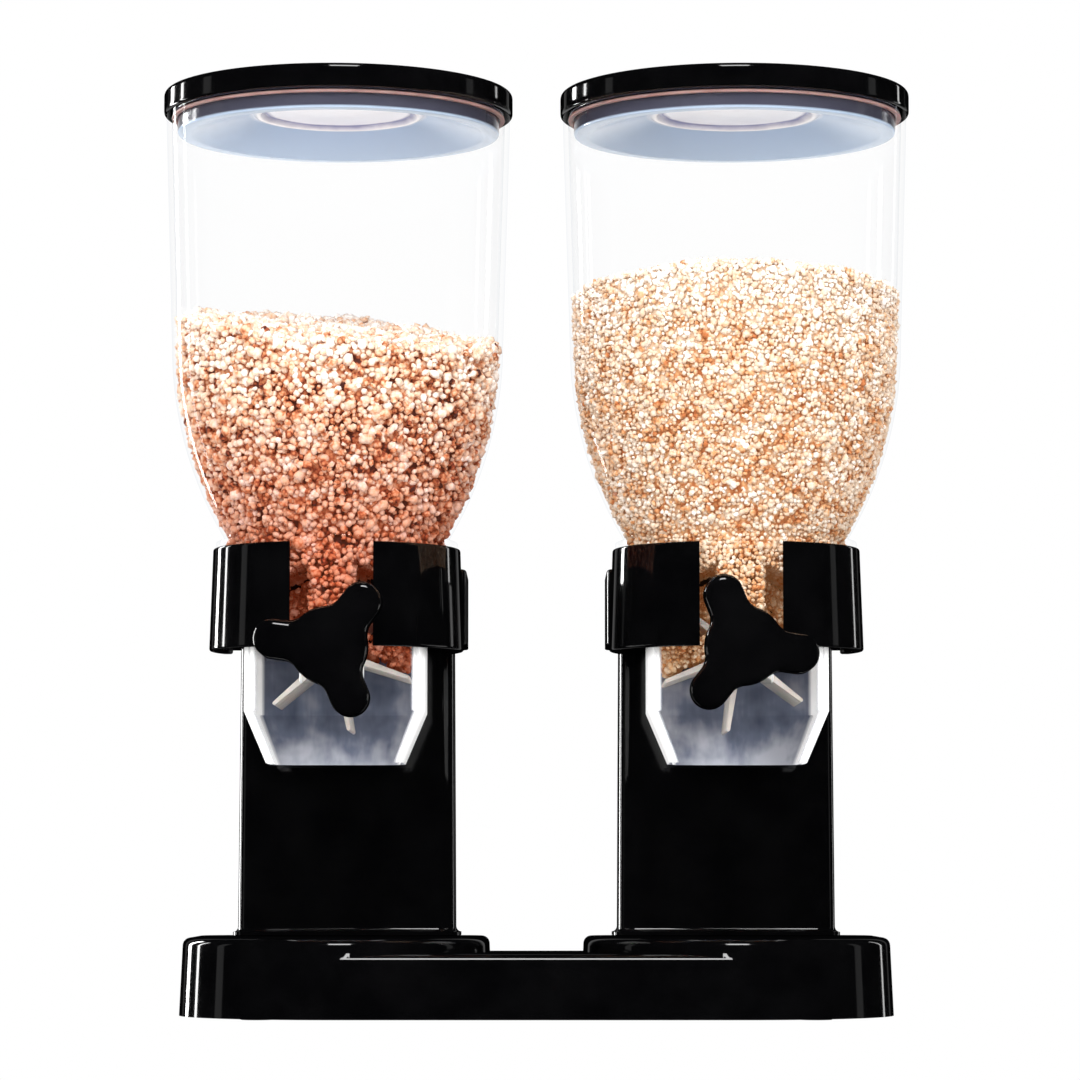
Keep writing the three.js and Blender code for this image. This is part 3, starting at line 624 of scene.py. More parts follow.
def screw_form():
    """A pan-head screw along +Z with a cross recess in its head."""
    low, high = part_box("base_screw_1")
    radius, length = half_width("base_screw_1"), high.z - low.z
    core = SCREW_SHANK * SCREW_CORE
    profile = [(0, 0), (radius * 0.72, 0.02 * MM), (radius, SCREW_HEAD * 0.55)]
    profile += [(radius, SCREW_HEAD), (SCREW_SHANK, SCREW_HEAD)]
    z = SCREW_HEAD + 0.8 * MM
    while z < length - SCREW_TIP - 0.2 * MM:
        profile += [(core, z), (SCREW_SHANK, z + SCREW_PITCH / 2)]
        z += SCREW_PITCH
    profile += [(core, length - SCREW_TIP), (0, length)]
    made = revolved("screw", profile, SCREW_ROUND)
    for half_x, half_y in ((RECESS_ARM, RECESS_WIDTH), (RECESS_WIDTH, RECESS_ARM)):
        made = cut(made, box_piece("tool", (-half_x, -half_y, -MM), (half_x, half_y, RECESS_DEPTH)))
    return made


def screws():
    pattern = screw_form()
    for name in sorted(node_name for node_name in NODE_SLOT if "screw" in node_name):
        low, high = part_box(name)
        made = pattern.copy()
        made.data = pattern.data.copy()
        bpy.context.scene.collection.objects.link(made)
        made.name = name + "_detail"
        x, y, z = middle(name)
        if "cover" in name:
            placed(turned_to_axis(made, "-y"), x, high.y, z)
        else:
            placed(made, x, y, low.z)
        stands_for(made, name, 30)
    bpy.data.objects.remove(pattern)


FOOT_HOLLOW = 0.25 * MM
FOOT_EDGE = 0.3 * MM


def feet():
    for name in sorted(node_name for node_name in NODE_SLOT if node_name.startswith("foot_")):
        low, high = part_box(name)
        radius, height = half_width(name), high.z - low.z
        profile = [(0, FOOT_HOLLOW), (radius * 0.45, FOOT_HOLLOW), (radius * 0.55, 0)]
        profile += [(radius - FOOT_EDGE, 0), (radius, 0.35 * MM), (radius, height), (0, height)]
        made = revolved(name + "_pad", filleted(profile, FOOT_EDGE, 3), SMALL_ROUND)
        x, y, _ = middle(name)
        stands_for(placed(made, x, y, low.z), name)


# ---- Post ----

POST_CORNER = 8 * MM
POST_TAPER = 0.7 * MM
FLANGE_REACH = 2.2 * MM
FLANGE_SIDE = 1.1 * MM  # height of the foot flange's upright side
FLANGE_FILLET = 2.4 * MM  # height of the hollow curve from the flange to the post
FLANGE_STEP = 0.3 * MM
RIBS = 7  # sunk grip lines across the rear cover
RIB_PITCH = 5 * MM
RIB_LENGTH = 24 * MM  # half of it
RIB_WIDTH = 0.7 * MM  # half of it
RIB_DEPTH = 0.6 * MM
COVER_CORNER = 1.2 * MM
COVER_EDGE = 0.5 * MM
COVER_HOLE = 1.9 * MM


def post(side):
    name = f"{side}_post"
    low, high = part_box(name)
    cover_low, cover_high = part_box(f"{side}_post_cover")
    x, y, _ = middle(name)
    half_x, half_y = half_width(name) - FLANGE_REACH, (high.y - low.y) / 2 - FLANGE_REACH
    top = high.z - low.z

    def ring(inset, z):
        lean = inset + POST_TAPER * z / top
        outline = rounded_rectangle(half_x - lean, half_y - lean, max(POST_CORNER - inset, MM))
        return [(px, py, z) for px, py in outline]

    rings = [ring(-FLANGE_REACH, 0), ring(-FLANGE_REACH, FLANGE_SIDE)]
    for i in range(7):
        angle = math.radians(15 * i)
        rise = FLANGE_SIDE + FLANGE_FILLET * (1 - math.cos(angle)) + FLANGE_STEP
        rings.append(ring(-FLANGE_REACH * (1 - math.sin(angle)), rise))
    body = loft(f"{side}_upright", [*rings, ring(0, top)])
    inner = loft("tool", [ring(WALL, WALL), ring(WALL, top - WALL)])
    window = box_piece(
        "tool",
        (cover_low.x - GAP - x, half_y - 2 * WALL, cover_low.z - GAP - low.z),
        (cover_high.x + GAP - x, half_y + WALL, cover_high.z + GAP - low.z),
    )
    stands_for(placed(cut(body, inner, window), x, y, low.z), name, 32)


def post_cover(side):
    """The rear panel, made lying flat and then turned upright, with sunk ribs and two screw holes."""
    name = f"{side}_post_cover"
    low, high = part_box(name)
    x, _, z = middle(name)
    half_x, half_z, top = half_width(name), (high.z - low.z) / 2, high.y - low.y

    def outline(inset):
        return rounded_rectangle(half_x - inset, half_z - inset, COVER_CORNER, 5)

    tools = []
    for row in range(RIBS):
        rib = (row - (RIBS - 1) / 2) * RIB_PITCH
        start, end = (-RIB_LENGTH, rib - RIB_WIDTH, top - RIB_DEPTH), (RIB_LENGTH, rib + RIB_WIDTH, top + MM)
        tools.append(box_piece("tool", start, end))
    for number in (1, 2):
        screw_rise = middle(f"{name}_screw_{number}").z - z
        tools.append(placed(rod("tool", COVER_HOLE, -MM, top + MM, SCREW_ROUND), 0, -screw_rise))
    made = cut(slab(f"{side}_rear_panel", outline, 0, top, 0, COVER_EDGE, 4), *tools)
    stands_for(placed(turned_to_axis(made, "+y"), x, low.y, z), name, 30)


# ---- Cradle ----

RING_DRAFT = 1.5 * MM
RING_INNER = 49.5 * MM
RING_EDGE = 1.1 * MM
SLOT_HALF = 17.25 * MM
SLOT_DEPTH = 20 * MM
BLOCK_FRONT = 20 * MM
BLOCK_CORNER = 6 * MM
BLOCK_EDGE = 1.6 * MM
BLOCK_DROP = 6.5 * MM  # of the block's top under the ring's
CRADLE_EDGE = 0.6 * MM


def cradle(side):
    """An open-fronted ring with a block behind it. The ring hangs lower than the block, which stands on the
    post."""
    name = f"{side}_cradle"
    low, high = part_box(name)
    x = HOPPER_X[side]
    under, over = low.z - MM, high.z + MM
    block_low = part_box(f"{side}_post")[1].z + GAP
    half_x, half_y = half_width(name), (high.y - BLOCK_FRONT) / 2
    radius = math.hypot(low.y, SLOT_HALF)
    section = [(RING_INNER, low.z), (radius, low.z), (radius - RING_DRAFT, high.z), (RING_INNER, high.z)]
    ring = revolved(f"{side}_ring", filleted_loop(section, RING_EDGE, 6), RING_ROUND)
    ring = cut(ring, box_piece("tool", (low.x - x, BLOCK_FRONT, under), (high.x - x, high.y, block_low)))

    def block_outline(inset):
        return rounded_rectangle(half_x - inset, half_y - inset, BLOCK_CORNER - inset)

    def slot_outline(inset):
        return rounded_rectangle(SLOT_HALF - inset, SLOT_DEPTH, MM, 2)

    block = slab("tool", block_outline, block_low, high.z - BLOCK_DROP, CRADLE_EDGE, BLOCK_EDGE, 6)
    placed(block, 0, BLOCK_FRONT + half_y)
    made = joined(ring, cut(block, rod("tool", RING_INNER + RING_DRAFT, under, over, RING_ROUND)))
    made = cut(made, placed(slab("tool", slot_outline, under, over), 0, -RING_INNER))
    stands_for(placed(bevelled(made, CRADLE_EDGE, 3, 50), x), name, 32)


# ---- Hopper ----

CLEAR_WALL = 2.2 * MM
BOWL_CURVE = 160 * MM
BOWL_RISE = 177 * MM  # of the bowl's upper end over the spout's mouth
BOWL_TOP_NARROWING = 3.0 * MM
NECK_RADIUS = 47.5 * MM
SPOUT_HALF = 38 * MM
SPOUT_DEPTH_RATIO = 34 / 38
MOUTH_HALF = 29 * MM
TAPER_RISE = 21.5 * MM
SPOUT_RISE = 56 * MM
NECK_RISE = 74 * MM
BEAD_RISE = 90.8 * MM
BEAD_HEIGHT = 2.5 * MM
BEAD_RADIUS = 51.2 * MM
SQUARENESS = 6  # exponent of the channel's superellipse
BOWL_STEPS = 22
KEY_HALF = 13 * MM
KEY_RISE = 32 * MM
KEY_FLOOR_RISE = 60 * MM

RIM_RADIUS = half_width("left_canister")
BOWL_TOP_RADIUS = RIM_RADIUS - BOWL_TOP_NARROWING
KEY_FRONT = -50.5 * MM
KEY_CORNER = 1.5 * MM
KEY_EDGE = 0.8 * MM
BUSH_SLEEVE = {"front": 8.5 * MM, "rear": 6.5 * MM}
BUSH_FLANGE = {"front": 3.0 * MM, "rear": 2.2 * MM}  # thickness of the flange
BUSH_EDGE = 0.35 * MM


def bowl_radius(z):
    drop = MOUTH_Z + BOWL_RISE - z
    return BOWL_TOP_RADIUS - BOWL_CURVE + math.sqrt(BOWL_CURVE**2 - drop**2)


def wall_radius(z):
    """Outer radius of the hopper at a height, before the channel is squared."""
    rise = z - MOUTH_Z
    if rise >= BOWL_RISE:
        share = (rise - BOWL_RISE) / (RIM_Z - MOUTH_Z - BOWL_RISE)
        return BOWL_TOP_RADIUS + (RIM_RADIUS - BOWL_TOP_RADIUS) * share
    if rise >= BEAD_RISE + BEAD_HEIGHT:
        return max(bowl_radius(z), NECK_RADIUS)
    if rise >= NECK_RISE:
        return NECK_RADIUS
    if rise >= SPOUT_RISE:
        return SPOUT_HALF + (NECK_RADIUS - SPOUT_HALF) * (rise - SPOUT_RISE) / (NECK_RISE - SPOUT_RISE)
    if rise >= TAPER_RISE:
        return SPOUT_HALF
    return MOUTH_HALF + (SPOUT_HALF - MOUTH_HALF) * rise / TAPER_RISE


def squaring(x, y, z):
    """How far points of a round form move out from the axis, or in, to give the squared channel below the
    neck. Takes numbers or arrays."""
    radius = np.maximum(np.hypot(x, y), 1e-9)
    share = np.clip((NECK_RISE - (z - MOUTH_Z)) / (NECK_RISE - SPOUT_RISE), 0, 1)
    share = share * share * (3 - 2 * share)
    across = np.abs(x / radius) ** SQUARENESS
    along = np.abs(y / radius / SPOUT_DEPTH_RATIO) ** SQUARENESS
    return 1 + ((across + along) ** (-1 / SQUARENESS) - 1) * share


def squared(x, y, z):
    """Moves a point of a round form onto the squared channel."""
    if x == 0 and y == 0:
        return x, y, z
    scale = squaring(x, y, z)
    return x * scale, y * scale, z


def hopper_profile(inset, extra):
    """(radius, height) points of one face of the hopper's wall, run on by `extra` past both ends."""
    slope = (SPOUT_HALF - MOUTH_HALF) / TAPER_RISE
    points = [
        (0, MOUTH_Z - extra),
        (MOUTH_HALF - inset - extra * slope, MOUTH_Z - extra),
        (SPOUT_HALF - inset, MOUTH_Z + TAPER_RISE),
        (SPOUT_HALF - inset, MOUTH_Z + SPOUT_RISE),
        (NECK_RADIUS - inset, MOUTH_Z + NECK_RISE),
    ]
    bead_top = MOUTH_Z + BEAD_RISE + BEAD_HEIGHT
    if not extra:
        points.append((NECK_RADIUS - inset, MOUTH_Z + BEAD_RISE))
        points += [(BEAD_RADIUS - inset, MOUTH_Z + BEAD_RISE), (BEAD_RADIUS - inset, bead_top)]
    bowl = np.linspace(bead_top + 1.3 * MM, MOUTH_Z + BOWL_RISE, BOWL_STEPS)
    points += [(bowl_radius(z) - inset, z) for z in bowl]
    straight = np.linspace(MOUTH_Z + BOWL_RISE, RIM_Z + extra, 6)[1:]
    points += [(wall_radius(min(z, RIM_Z)) - inset, z) for z in straight]
    return [*points, (0, RIM_Z + extra)]


def dense(profile, step):
    """A profile with extra points along its long stretches."""
    made = [profile[0]]
    for (r0, z0), (r1, z1) in zip(profile, profile[1:]):
        pieces = max(1, round(math.hypot(r1 - r0, z1 - z0) / step))
        made += [(r0 + (r1 - r0) * i / pieces, z0 + (z1 - z0) * i / pieces) for i in range(1, pieces + 1)]
    return made


def hopper_form(name, inset, extra):
    axis_low, *body, axis_high = hopper_profile(inset, extra)
    body = dense(filleted(body, 1.0 * MM, 4), 6 * MM)
    return revolved(name, [axis_low, *body, axis_high], HOPPER_ROUND, squared)


def canister(side):
    """The clear container, with the key that fills the lower part of the cradle's slot, and the bearings'
    bores."""
    bush_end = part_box(f"{side}_front_bush")[1].y
    bead_top = MOUTH_Z + BEAD_RISE + BEAD_HEIGHT

    def key(inset):
        half, front = KEY_HALF - inset, KEY_FRONT + inset
        left = arc(KEY_CORNER - half, front + KEY_CORNER, KEY_CORNER, 180, 270, 5)
        right = arc(half - KEY_CORNER, front + KEY_CORNER, KEY_CORNER, 270, 360, 5)
        return [*left, *right, (half, bush_end), (-half, bush_end)]

    def bore(end, axis):
        made = rod("tool", BUSH_SLEEVE[end] + GAP, 0, 80 * MM, HALF_ROUND)
        return placed(turned_to_axis(made, axis), 0, 0, SHAFT_Z)

    made = hopper_form(f"{side}_clear_hopper", 0.0, 0.0)
    made = joined(made, slab("tool", key, MOUTH_Z + KEY_RISE, bead_top, KEY_EDGE, KEY_EDGE, 4))
    pocket = box_piece(
        "tool",
        (CLEAR_WALL - KEY_HALF, KEY_FRONT + CLEAR_WALL, MOUTH_Z + KEY_FLOOR_RISE),
        (KEY_HALF - CLEAR_WALL, bush_end + 8 * MM, bead_top - CLEAR_WALL),
    )
    inner = hopper_form("tool", CLEAR_WALL, MM)
    made = cut(made, inner, pocket, bore("front", "-y"), bore("rear", "+y"))
    stands_for(placed(made, HOPPER_X[side]), f"{side}_canister", 32)


# ---- Lid ----

LID_RIM = 3.3 * MM
LID_PLATE = 3.0 * MM
LID_GROOVE = 10.2 * MM  # from the lid's side to the middle of the groove in its top
LID_GROOVE_HALF = 1.2 * MM
LINER_SKIN = 2.2 * MM
SEAL_EDGE = 0.4 * MM


def lid(side):
    """A flat top with a shallow groove round it, over a deep rim."""
    name = f"{side}_lid"
    low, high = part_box(name)
    radius = half_width(name)
    profile = [
        (0, high.z - LID_PLATE),
        (radius - LID_RIM, high.z - LID_PLATE),
        (radius - LID_RIM, low.z),
        (radius, low.z),
        (radius, high.z - 0.2 * MM),
        (radius - LID_GROOVE + LID_GROOVE_HALF, high.z - 0.15 * MM),
        (radius - LID_GROOVE, high.z - 0.75 * MM),
        (radius - LID_GROOVE - LID_GROOVE_HALF, high.z - 0.15 * MM),
        (radius * 0.45, high.z - 0.05 * MM),
        (0, high.z),
    ]
    made = revolved(f"{side}_lid_cap", filleted(profile, 2.2 * MM, 6), ROUND)
    stands_for(placed(made, HOPPER_X[side]), name)


def lid_liner(side):
    """The plug: an upright wall, a dished underside, and in its middle a flat disc inside a raised bead."""
    name = f"{side}_lid_liner"
    low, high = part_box(name)
    flange = half_width(name)
    disc = low.z + DISC_RISE
    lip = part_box(f"{side}_lid")[0].z
    profile = [
        (0, disc - 0.3 * MM),
        (DISC_RADIUS * 0.6, disc - 0.1 * MM),
        (DISC_RADIUS - 2.5 * MM, disc),
        (DISC_RADIUS - 0.8 * MM, disc - 1.6 * MM),
        (DISC_RADIUS + 0.8 * MM, disc - 1.9 * MM),
        (DISC_RADIUS + 2.6 * MM, disc - 0.9 * MM),
        (DISH_RADIUS, low.z + 0.2 * MM),
        (DISH_RADIUS + 1.2 * MM, low.z),
        (PLUG_RADIUS, low.z),
        (PLUG_RADIUS, lip),
        (flange, lip),
        (flange, high.z),
        (PLUG_RADIUS - LINER_SKIN, high.z),
        (PLUG_RADIUS - LINER_SKIN, low.z + LINER_SKIN),
        (DISH_RADIUS, low.z + LINER_SKIN),
        (DISC_RADIUS, disc + LINER_SKIN),
        (0, disc + LINER_SKIN),
    ]
    made = revolved(f"{side}_lid_plug", filleted(profile, 1.2 * MM, 5), ROUND)
    radius = [math.hypot(v.co.x, v.co.y) / PLUG_RADIUS for v in made.data.vertices]
    point_values(made.data, "radius", radius)
    stands_for(placed(made, HOPPER_X[side]), name)


def lid_seal(side):
    name = f"{side}_lid_seal"
    low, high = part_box(name)
    radius, inner = half_width(name), PLUG_RADIUS + GAP
    profile = [(inner, low.z), (radius, low.z), (radius, high.z), (inner, high.z)]
    made = revolved(f"{side}_seal_ring", filleted_loop(profile, SEAL_EDGE, 4), ROUND)
    stands_for(placed(made, HOPPER_X[side]), name)


# ---- Drive ----

KNOB_REACH = 22.6 * MM  # centre of each lobe's round end
KNOB_END = 8.0 * MM  # radius of that end
KNOB_WAIST = 16.0 * MM  # radius of the round middle
KNOB_FILLET = 8.0 * MM
KNOB_GRIP = 18 * MM  # depth of the grip, in front of the hub
KNOB_BACK_EDGE = 1.0 * MM
KNOB_FRONT_EDGE = 3.4 * MM
KNOB_HUB = 10 * MM
HUB_OVERLAP = 2 * MM
HUB_EDGE = 0.6 * MM
KNOB_FACE = 4.7 * MM  # thickness left in front of the shaft's bore
KNOB_ANGLE = {"left": 52.8, "right": 111.7}
BLADE_ANGLE = {"left": 41.0, "right": 22.0}
SHAFT_BORE = 4.3 * MM
BLADES = 6
BLADE_TIP = 33.5 * MM
BLADE_STEPS = 6
ROOT_HALF = 1.5 * MM  # half of a blade's thickness at the hub
TIP_HALF = 0.8 * MM
BLADE_EDGE = 0.35 * MM
WHEEL_HUB = 9 * MM
COLLAR = 6.6 * MM
COLLAR_REACH = 0.6 * MM
COLLAR_EDGE = 0.4 * MM


def arc_about(angle, distance, radius, start, end, steps):
    """An arc whose centre is at an angle and a distance from the origin."""
    turn = math.radians(angle)
    return arc(distance * math.cos(turn), distance * math.sin(turn), radius, start, end, steps)


def trefoil(inset):
    """Outline of the knob: three round-ended lobes, joined to a round middle by hollow fillets."""
    away = KNOB_WAIST + KNOB_FILLET
    lean = math.degrees(math.asin((KNOB_END + KNOB_FILLET) / away))
    fillet = KNOB_FILLET + inset
    waist = KNOB_WAIST - inset
    points = []
    for turn in (0, 120, 240):
        after = turn + 120
        points += arc_about(turn, KNOB_REACH, KNOB_END - inset, turn - 90, turn + 90, 24)
        points += arc_about(turn + lean, away, fillet, turn + 270, turn + lean + 180, 10)[1:-1]
        points += arc(0, 0, waist, turn + lean, after - lean, 8)
        points += arc_about(after - lean, away, fillet, after - lean + 180, after + 90, 10)[1:-1]
    return points


def knob(side):
    name = f"{side}_knob"
    low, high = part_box(name)
    depth = high.y - low.y
    hub_depth = depth - KNOB_GRIP
    hub_end = hub_depth + HUB_OVERLAP
    grip = slab(f"{side}_knob_grip", trefoil, hub_depth, depth, KNOB_BACK_EDGE, KNOB_FRONT_EDGE, 9)
    hub_profile = filleted([(0, 0), (KNOB_HUB, 0), (KNOB_HUB, hub_end), (0, hub_end)], HUB_EDGE, 3)
    made = joined(grip, revolved("tool", hub_profile, DRIVE_ROUND))
    made = cut(made, rod("tool", SHAFT_BORE, -MM, depth - KNOB_FACE, DRIVE_ROUND))
    turned_to_axis(spun(made, KNOB_ANGLE[side]), "-y")
    stands_for(placed(made, HOPPER_X[side], high.y, SHAFT_Z), name, 36)


def blade_outline(turn):
    """One tapering blade with a round tip, and the stretch of hub after it."""
    angle = math.radians(turn)
    along, across = (math.cos(angle), math.sin(angle)), (-math.sin(angle), math.cos(angle))

    def at(reach, off):
        return (along[0] * reach + across[0] * off, along[1] * reach + across[1] * off)

    reaches = np.linspace(WHEEL_HUB + 1.5 * MM, BLADE_TIP - TIP_HALF, BLADE_STEPS)
    widths = np.linspace(ROOT_HALF, TIP_HALF, BLADE_STEPS)
    points = [at(r, -w) for r, w in zip(reaches, widths)]
    points += [at(r, off) for r, off in arc(BLADE_TIP - TIP_HALF, 0, TIP_HALF, -60, 60, 4)]
    points += [at(r, w) for r, w in zip(reaches[::-1], widths[::-1])]
    return points + arc(0, 0, WHEEL_HUB, turn + 16, turn + 44, 6)


def paddle_wheel(side):
    name = f"{side}_paddle_wheel"
    low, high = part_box(name)
    half = (high.y - low.y) / 2
    outline = [point for blade in range(BLADES) for point in blade_outline(blade * 360 / BLADES)]
    blades = loft(f"{side}_blades", [[(x, y, z) for x, y in outline] for z in (-half, half)])
    end = half + COLLAR_REACH
    collar_profile = filleted([(0, -end), (COLLAR, -end), (COLLAR, end), (0, end)], COLLAR_EDGE, 3)
    made = joined(bevelled(blades, BLADE_EDGE, 3, 50), revolved("tool", collar_profile, DRIVE_ROUND))
    made = cut(made, rod("tool", SHAFT_BORE, -2 * half, 2 * half, DRIVE_ROUND))
    turned_to_axis(spun(made, BLADE_ANGLE[side]), "-y")
    stands_for(placed(made, HOPPER_X[side], 0, SHAFT_Z), name, 40)


def bush(side, end):
    """A flanged bearing sleeve: the front one's flange faces -Y, the rear one's +Y."""
    name = f"{side}_{end}_bush"
    low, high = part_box(name)
    length = high.y - low.y
    flange, flange_start = half_width(name), length - BUSH_FLANGE[end]
    profile = [
        (SHAFT_BORE, length),
        (SHAFT_BORE, 0),
        (BUSH_SLEEVE[end], 0),
        (BUSH_SLEEVE[end], flange_start),
        (flange, flange_start),
        (flange, length),
    ]
    made = revolved(f"{side}_{end}_bearing", filleted_loop(profile, BUSH_EDGE, 3), HALF_ROUND)
    axis, start = ("-y", high.y) if end == "front" else ("+y", low.y)
    stands_for(placed(turned_to_axis(made, axis), HOPPER_X[side], start, SHAFT_Z), name)


SHAFT_CHAMFER = 0.7 * MM
CLIP_GROOVE = 2.2 * MM  # from the shaft's front end
GROOVE_DEPTH_RATIO = 0.85
CLIP_OUTER = 6.9 * MM
CLIP_INNER = 4.35 * MM
CLIP_GAP = 38  # degrees to each side of the clip's opening
CLIP_EAR = (5.6 * MM, -3.4 * MM)  # centre of the round ear beside the opening
CLIP_EDGE = 0.15 * MM


def drive_shaft(side):
    """The spindle, with the clip's groove near its end."""
    name = f"{side}_drive_shaft"
    low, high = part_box(name)
    length, radius = high.y - low.y, half_width(name)
    groove = length - CLIP_GROOVE
    profile = [
        (0, 0),
        (radius - SHAFT_CHAMFER, 0),
        (radius, SHAFT_CHAMFER),
        (radius, groove),
        (radius * GROOVE_DEPTH_RATIO, groove + 0.1 * MM),
        (radius * GROOVE_DEPTH_RATIO, groove + 1.0 * MM),
        (radius, groove + 1.1 * MM),
        (radius - 0.4 * MM, length),
        (0, length),
    ]
    made = revolved(f"{side}_spindle", profile, DRIVE_ROUND)
    stands_for(placed(turned_to_axis(made, "+y"), HOPPER_X[side], low.y, SHAFT_Z), name, 30)


def shaft_clip(side):
    name = f"{side}_shaft_clip"
    low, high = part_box(name)

    def outline(inset):
        outer = arc(0, 0, CLIP_OUTER - inset, CLIP_GAP, 360 - CLIP_GAP, 40)
        ear = arc(*CLIP_EAR, MM - inset, 300, 300, 0)
        return outer + ear + arc(0, 0, CLIP_INNER + inset, 360 - CLIP_GAP, CLIP_GAP, 40)

    made = slab(f"{side}_retaining_clip", outline, 0, high.y - low.y, CLIP_EDGE, CLIP_EDGE, 2)
    stands_for(placed(turned_to_axis(made, "-y"), HOPPER_X[side], high.y, SHAFT_Z), name, 35)


# ---- Cereal ----

LENS_WALL = 0.9 * MM  # the curved wall makes the cereal look as if it reached this close to the outside
WHEEL_REACH = 36 * MM  # the stored cereal stays this far from the shaft, clear of the turning blades
FILL_LOWEST, FILL_HIGHEST = SHAFT_Z + 9 * MM, 0.33
CORE_LOWEST, CORE_HIGHEST = SHAFT_Z + 38 * MM, 0.31
SHELL_OUTSIDE, SHELL_INSIDE = 0.56, 1.35  # the visible layer's depth under the surface, in grain sizes


def inner_distance(points):
    """How far each point of a hopper's own frame lies inside the hopper's wall, roughly."""
    heights = np.linspace(MOUTH_Z, RIM_Z, 600)
    radii = np.array([wall_radius(z) - LENS_WALL for z in heights])
    x, y, z = points.T
    return np.interp(z, heights, radii) * squaring(x, y, z) - np.maximum(np.hypot(x, y), 1e-9)


def fill_depth(points, top):
    """How far each point lies inside the stored cereal: inside the wall, under its top and over the wheel,
    or in the hollow of the key in front of the wheel."""
    x, y, z = points.T
    over_wheel = np.hypot(x, z - SHAFT_Z) - WHEEL_REACH
    floor = z - FILL_LOWEST
    main = [inner_distance(points), top(x, y) - z, over_wheel, floor]
    pocket = [
        KEY_HALF - CLEAR_WALL - np.abs(x),
        y - (KEY_FRONT + CLEAR_WALL),
        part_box("left_paddle_wheel")[0].y - MM - y,
        MOUTH_Z + BEAD_RISE - z,
        z - (MOUTH_Z + KEY_FLOOR_RISE),
    ]
    return np.maximum(np.minimum.reduce(main), np.minimum.reduce(pocket))


ICO_T = (1 + 5**0.5) / 2
ICO_POINTS = np.array(
    [(-1, ICO_T, 0), (1, ICO_T, 0), (-1, -ICO_T, 0), (1, -ICO_T, 0)]
    + [(0, -1, ICO_T), (0, 1, ICO_T), (0, -1, -ICO_T), (0, 1, -ICO_T)]
    + [(ICO_T, 0, -1), (ICO_T, 0, 1), (-ICO_T, 0, -1), (-ICO_T, 0, 1)]
) / math.hypot(1, ICO_T)
ICO_FACES = np.array(
    [(0, 11, 5), (0, 5, 1), (0, 1, 7), (0, 7, 10), (0, 10, 11), (1, 5, 9), (5, 11, 4)]
    + [(11, 10, 2), (10, 7, 6), (7, 1, 8), (3, 9, 4), (3, 4, 2), (3, 2, 6), (3, 6, 8)]
    + [(3, 8, 9), (4, 9, 5), (2, 4, 11), (6, 2, 10), (8, 6, 7), (9, 8, 1)]
)
GRAIN_POINTS = len(ICO_POINTS)
GRAIN_SIZES, GRAIN_SHARES = (0.75, 0.95, 1.15, 1.5), (0.3, 0.4, 0.22, 0.08)
GRAIN_STRETCH = (0.68, 1.3)
GRAIN_LUMPS = 0.13
GRAIN_STRAY = 0.38  # of the grid's spacing
TONE_MEAN, TONE_SPREAD, TONE_LOWEST = 0.56, 0.17, 0.12


def random_turns(random, count):
    """Random rotation matrices."""
    q = random.normal(size=(count, 4))
    q /= np.linalg.norm(q, axis=1)[:, None]
    w, x, y, z = q.T
    return np.stack(
        [
            np.stack([1 - 2 * (y * y + z * z), 2 * (x * y - z * w), 2 * (x * z + y * w)], -1),
            np.stack([2 * (x * y + z * w), 1 - 2 * (x * x + z * z), 2 * (y * z - x * w)], -1),
            np.stack([2 * (x * z - y * w), 2 * (y * z + x * w), 1 - 2 * (x * x + y * y)], -1),
        ],
        1,
    )


def grains(name, centres, fill, random, material):
    """One mesh of many grains, each a rough lump with its own shape, size, turn and tone."""
    count = len(centres)
    stretch = random.uniform(*GRAIN_STRETCH, (count, 1, 3))
    lumps = 1 + GRAIN_LUMPS * random.normal(size=(count, GRAIN_POINTS, 1)).clip(-2, 2)
    dark = random.random(count) < fill["dark"]
    scale = fill["size"] / 2 * random.choice(GRAIN_SIZES, count, p=GRAIN_SHARES)
    local = ICO_POINTS[None] * stretch * lumps * scale[:, None, None]
    turned = np.einsum("nij,nkj->nki", random_turns(random, count), local)
    vertices = (turned + centres[:, None]).reshape(-1, 3)
    faces = (ICO_FACES[None] + GRAIN_POINTS * np.arange(count)[:, None, None]).reshape(-1, 3)
    mesh = bpy.data.meshes.new(name)
    mesh.vertices.add(len(vertices))
    mesh.vertices.foreach_set("co", vertices.ravel())
    mesh.loops.add(faces.size)
    mesh.loops.foreach_set("vertex_index", faces.ravel())
    mesh.polygons.add(len(faces))
    mesh.polygons.foreach_set("loop_start", np.arange(0, faces.size, 3))
    mesh.update(calc_edges=True)
    mesh.shade_smooth()
    tone = np.where(dark, 0.0, np.clip(random.normal(TONE_MEAN, TONE_SPREAD, count), TONE_LOWEST, 1))
    point_values(mesh, "tone", np.repeat(tone, GRAIN_POINTS).astype(np.float32))
    mesh.materials.append(material)
    made = bpy.data.objects.new(name, mesh)
    bpy.context.scene.collection.objects.link(made)
    print(name, count, "grains")
    return made


def jittered_grid(low, high, spacing, random):
    """Loosely ordered points that fill a box about one spacing apart."""
    axes = [np.arange(a, b, spacing) for a, b in zip(low, high)]
    points = np.stack(np.meshgrid(*axes, indexing="ij"), -1).reshape(-1, 3)
    return points + random.uniform(-GRAIN_STRAY, GRAIN_STRAY, points.shape) * spacing


def left_top(x, y):
    """Height of the left fill: it slopes up to the left and the back."""
    return 0.2925 - 0.0955 * x + 0.1985 * y + 0.0016 * np.sin(130 * x + 1) * np.cos(95 * y)


def right_top(x, y):
    """Height of the right fill: heaped in the middle."""
    ripple = 0.0012 * np.sin(110 * x) * np.cos(120 * y + 2)
    return 0.316 - 2.2 * (x * x + y * y) - 0.07 * y + ripple


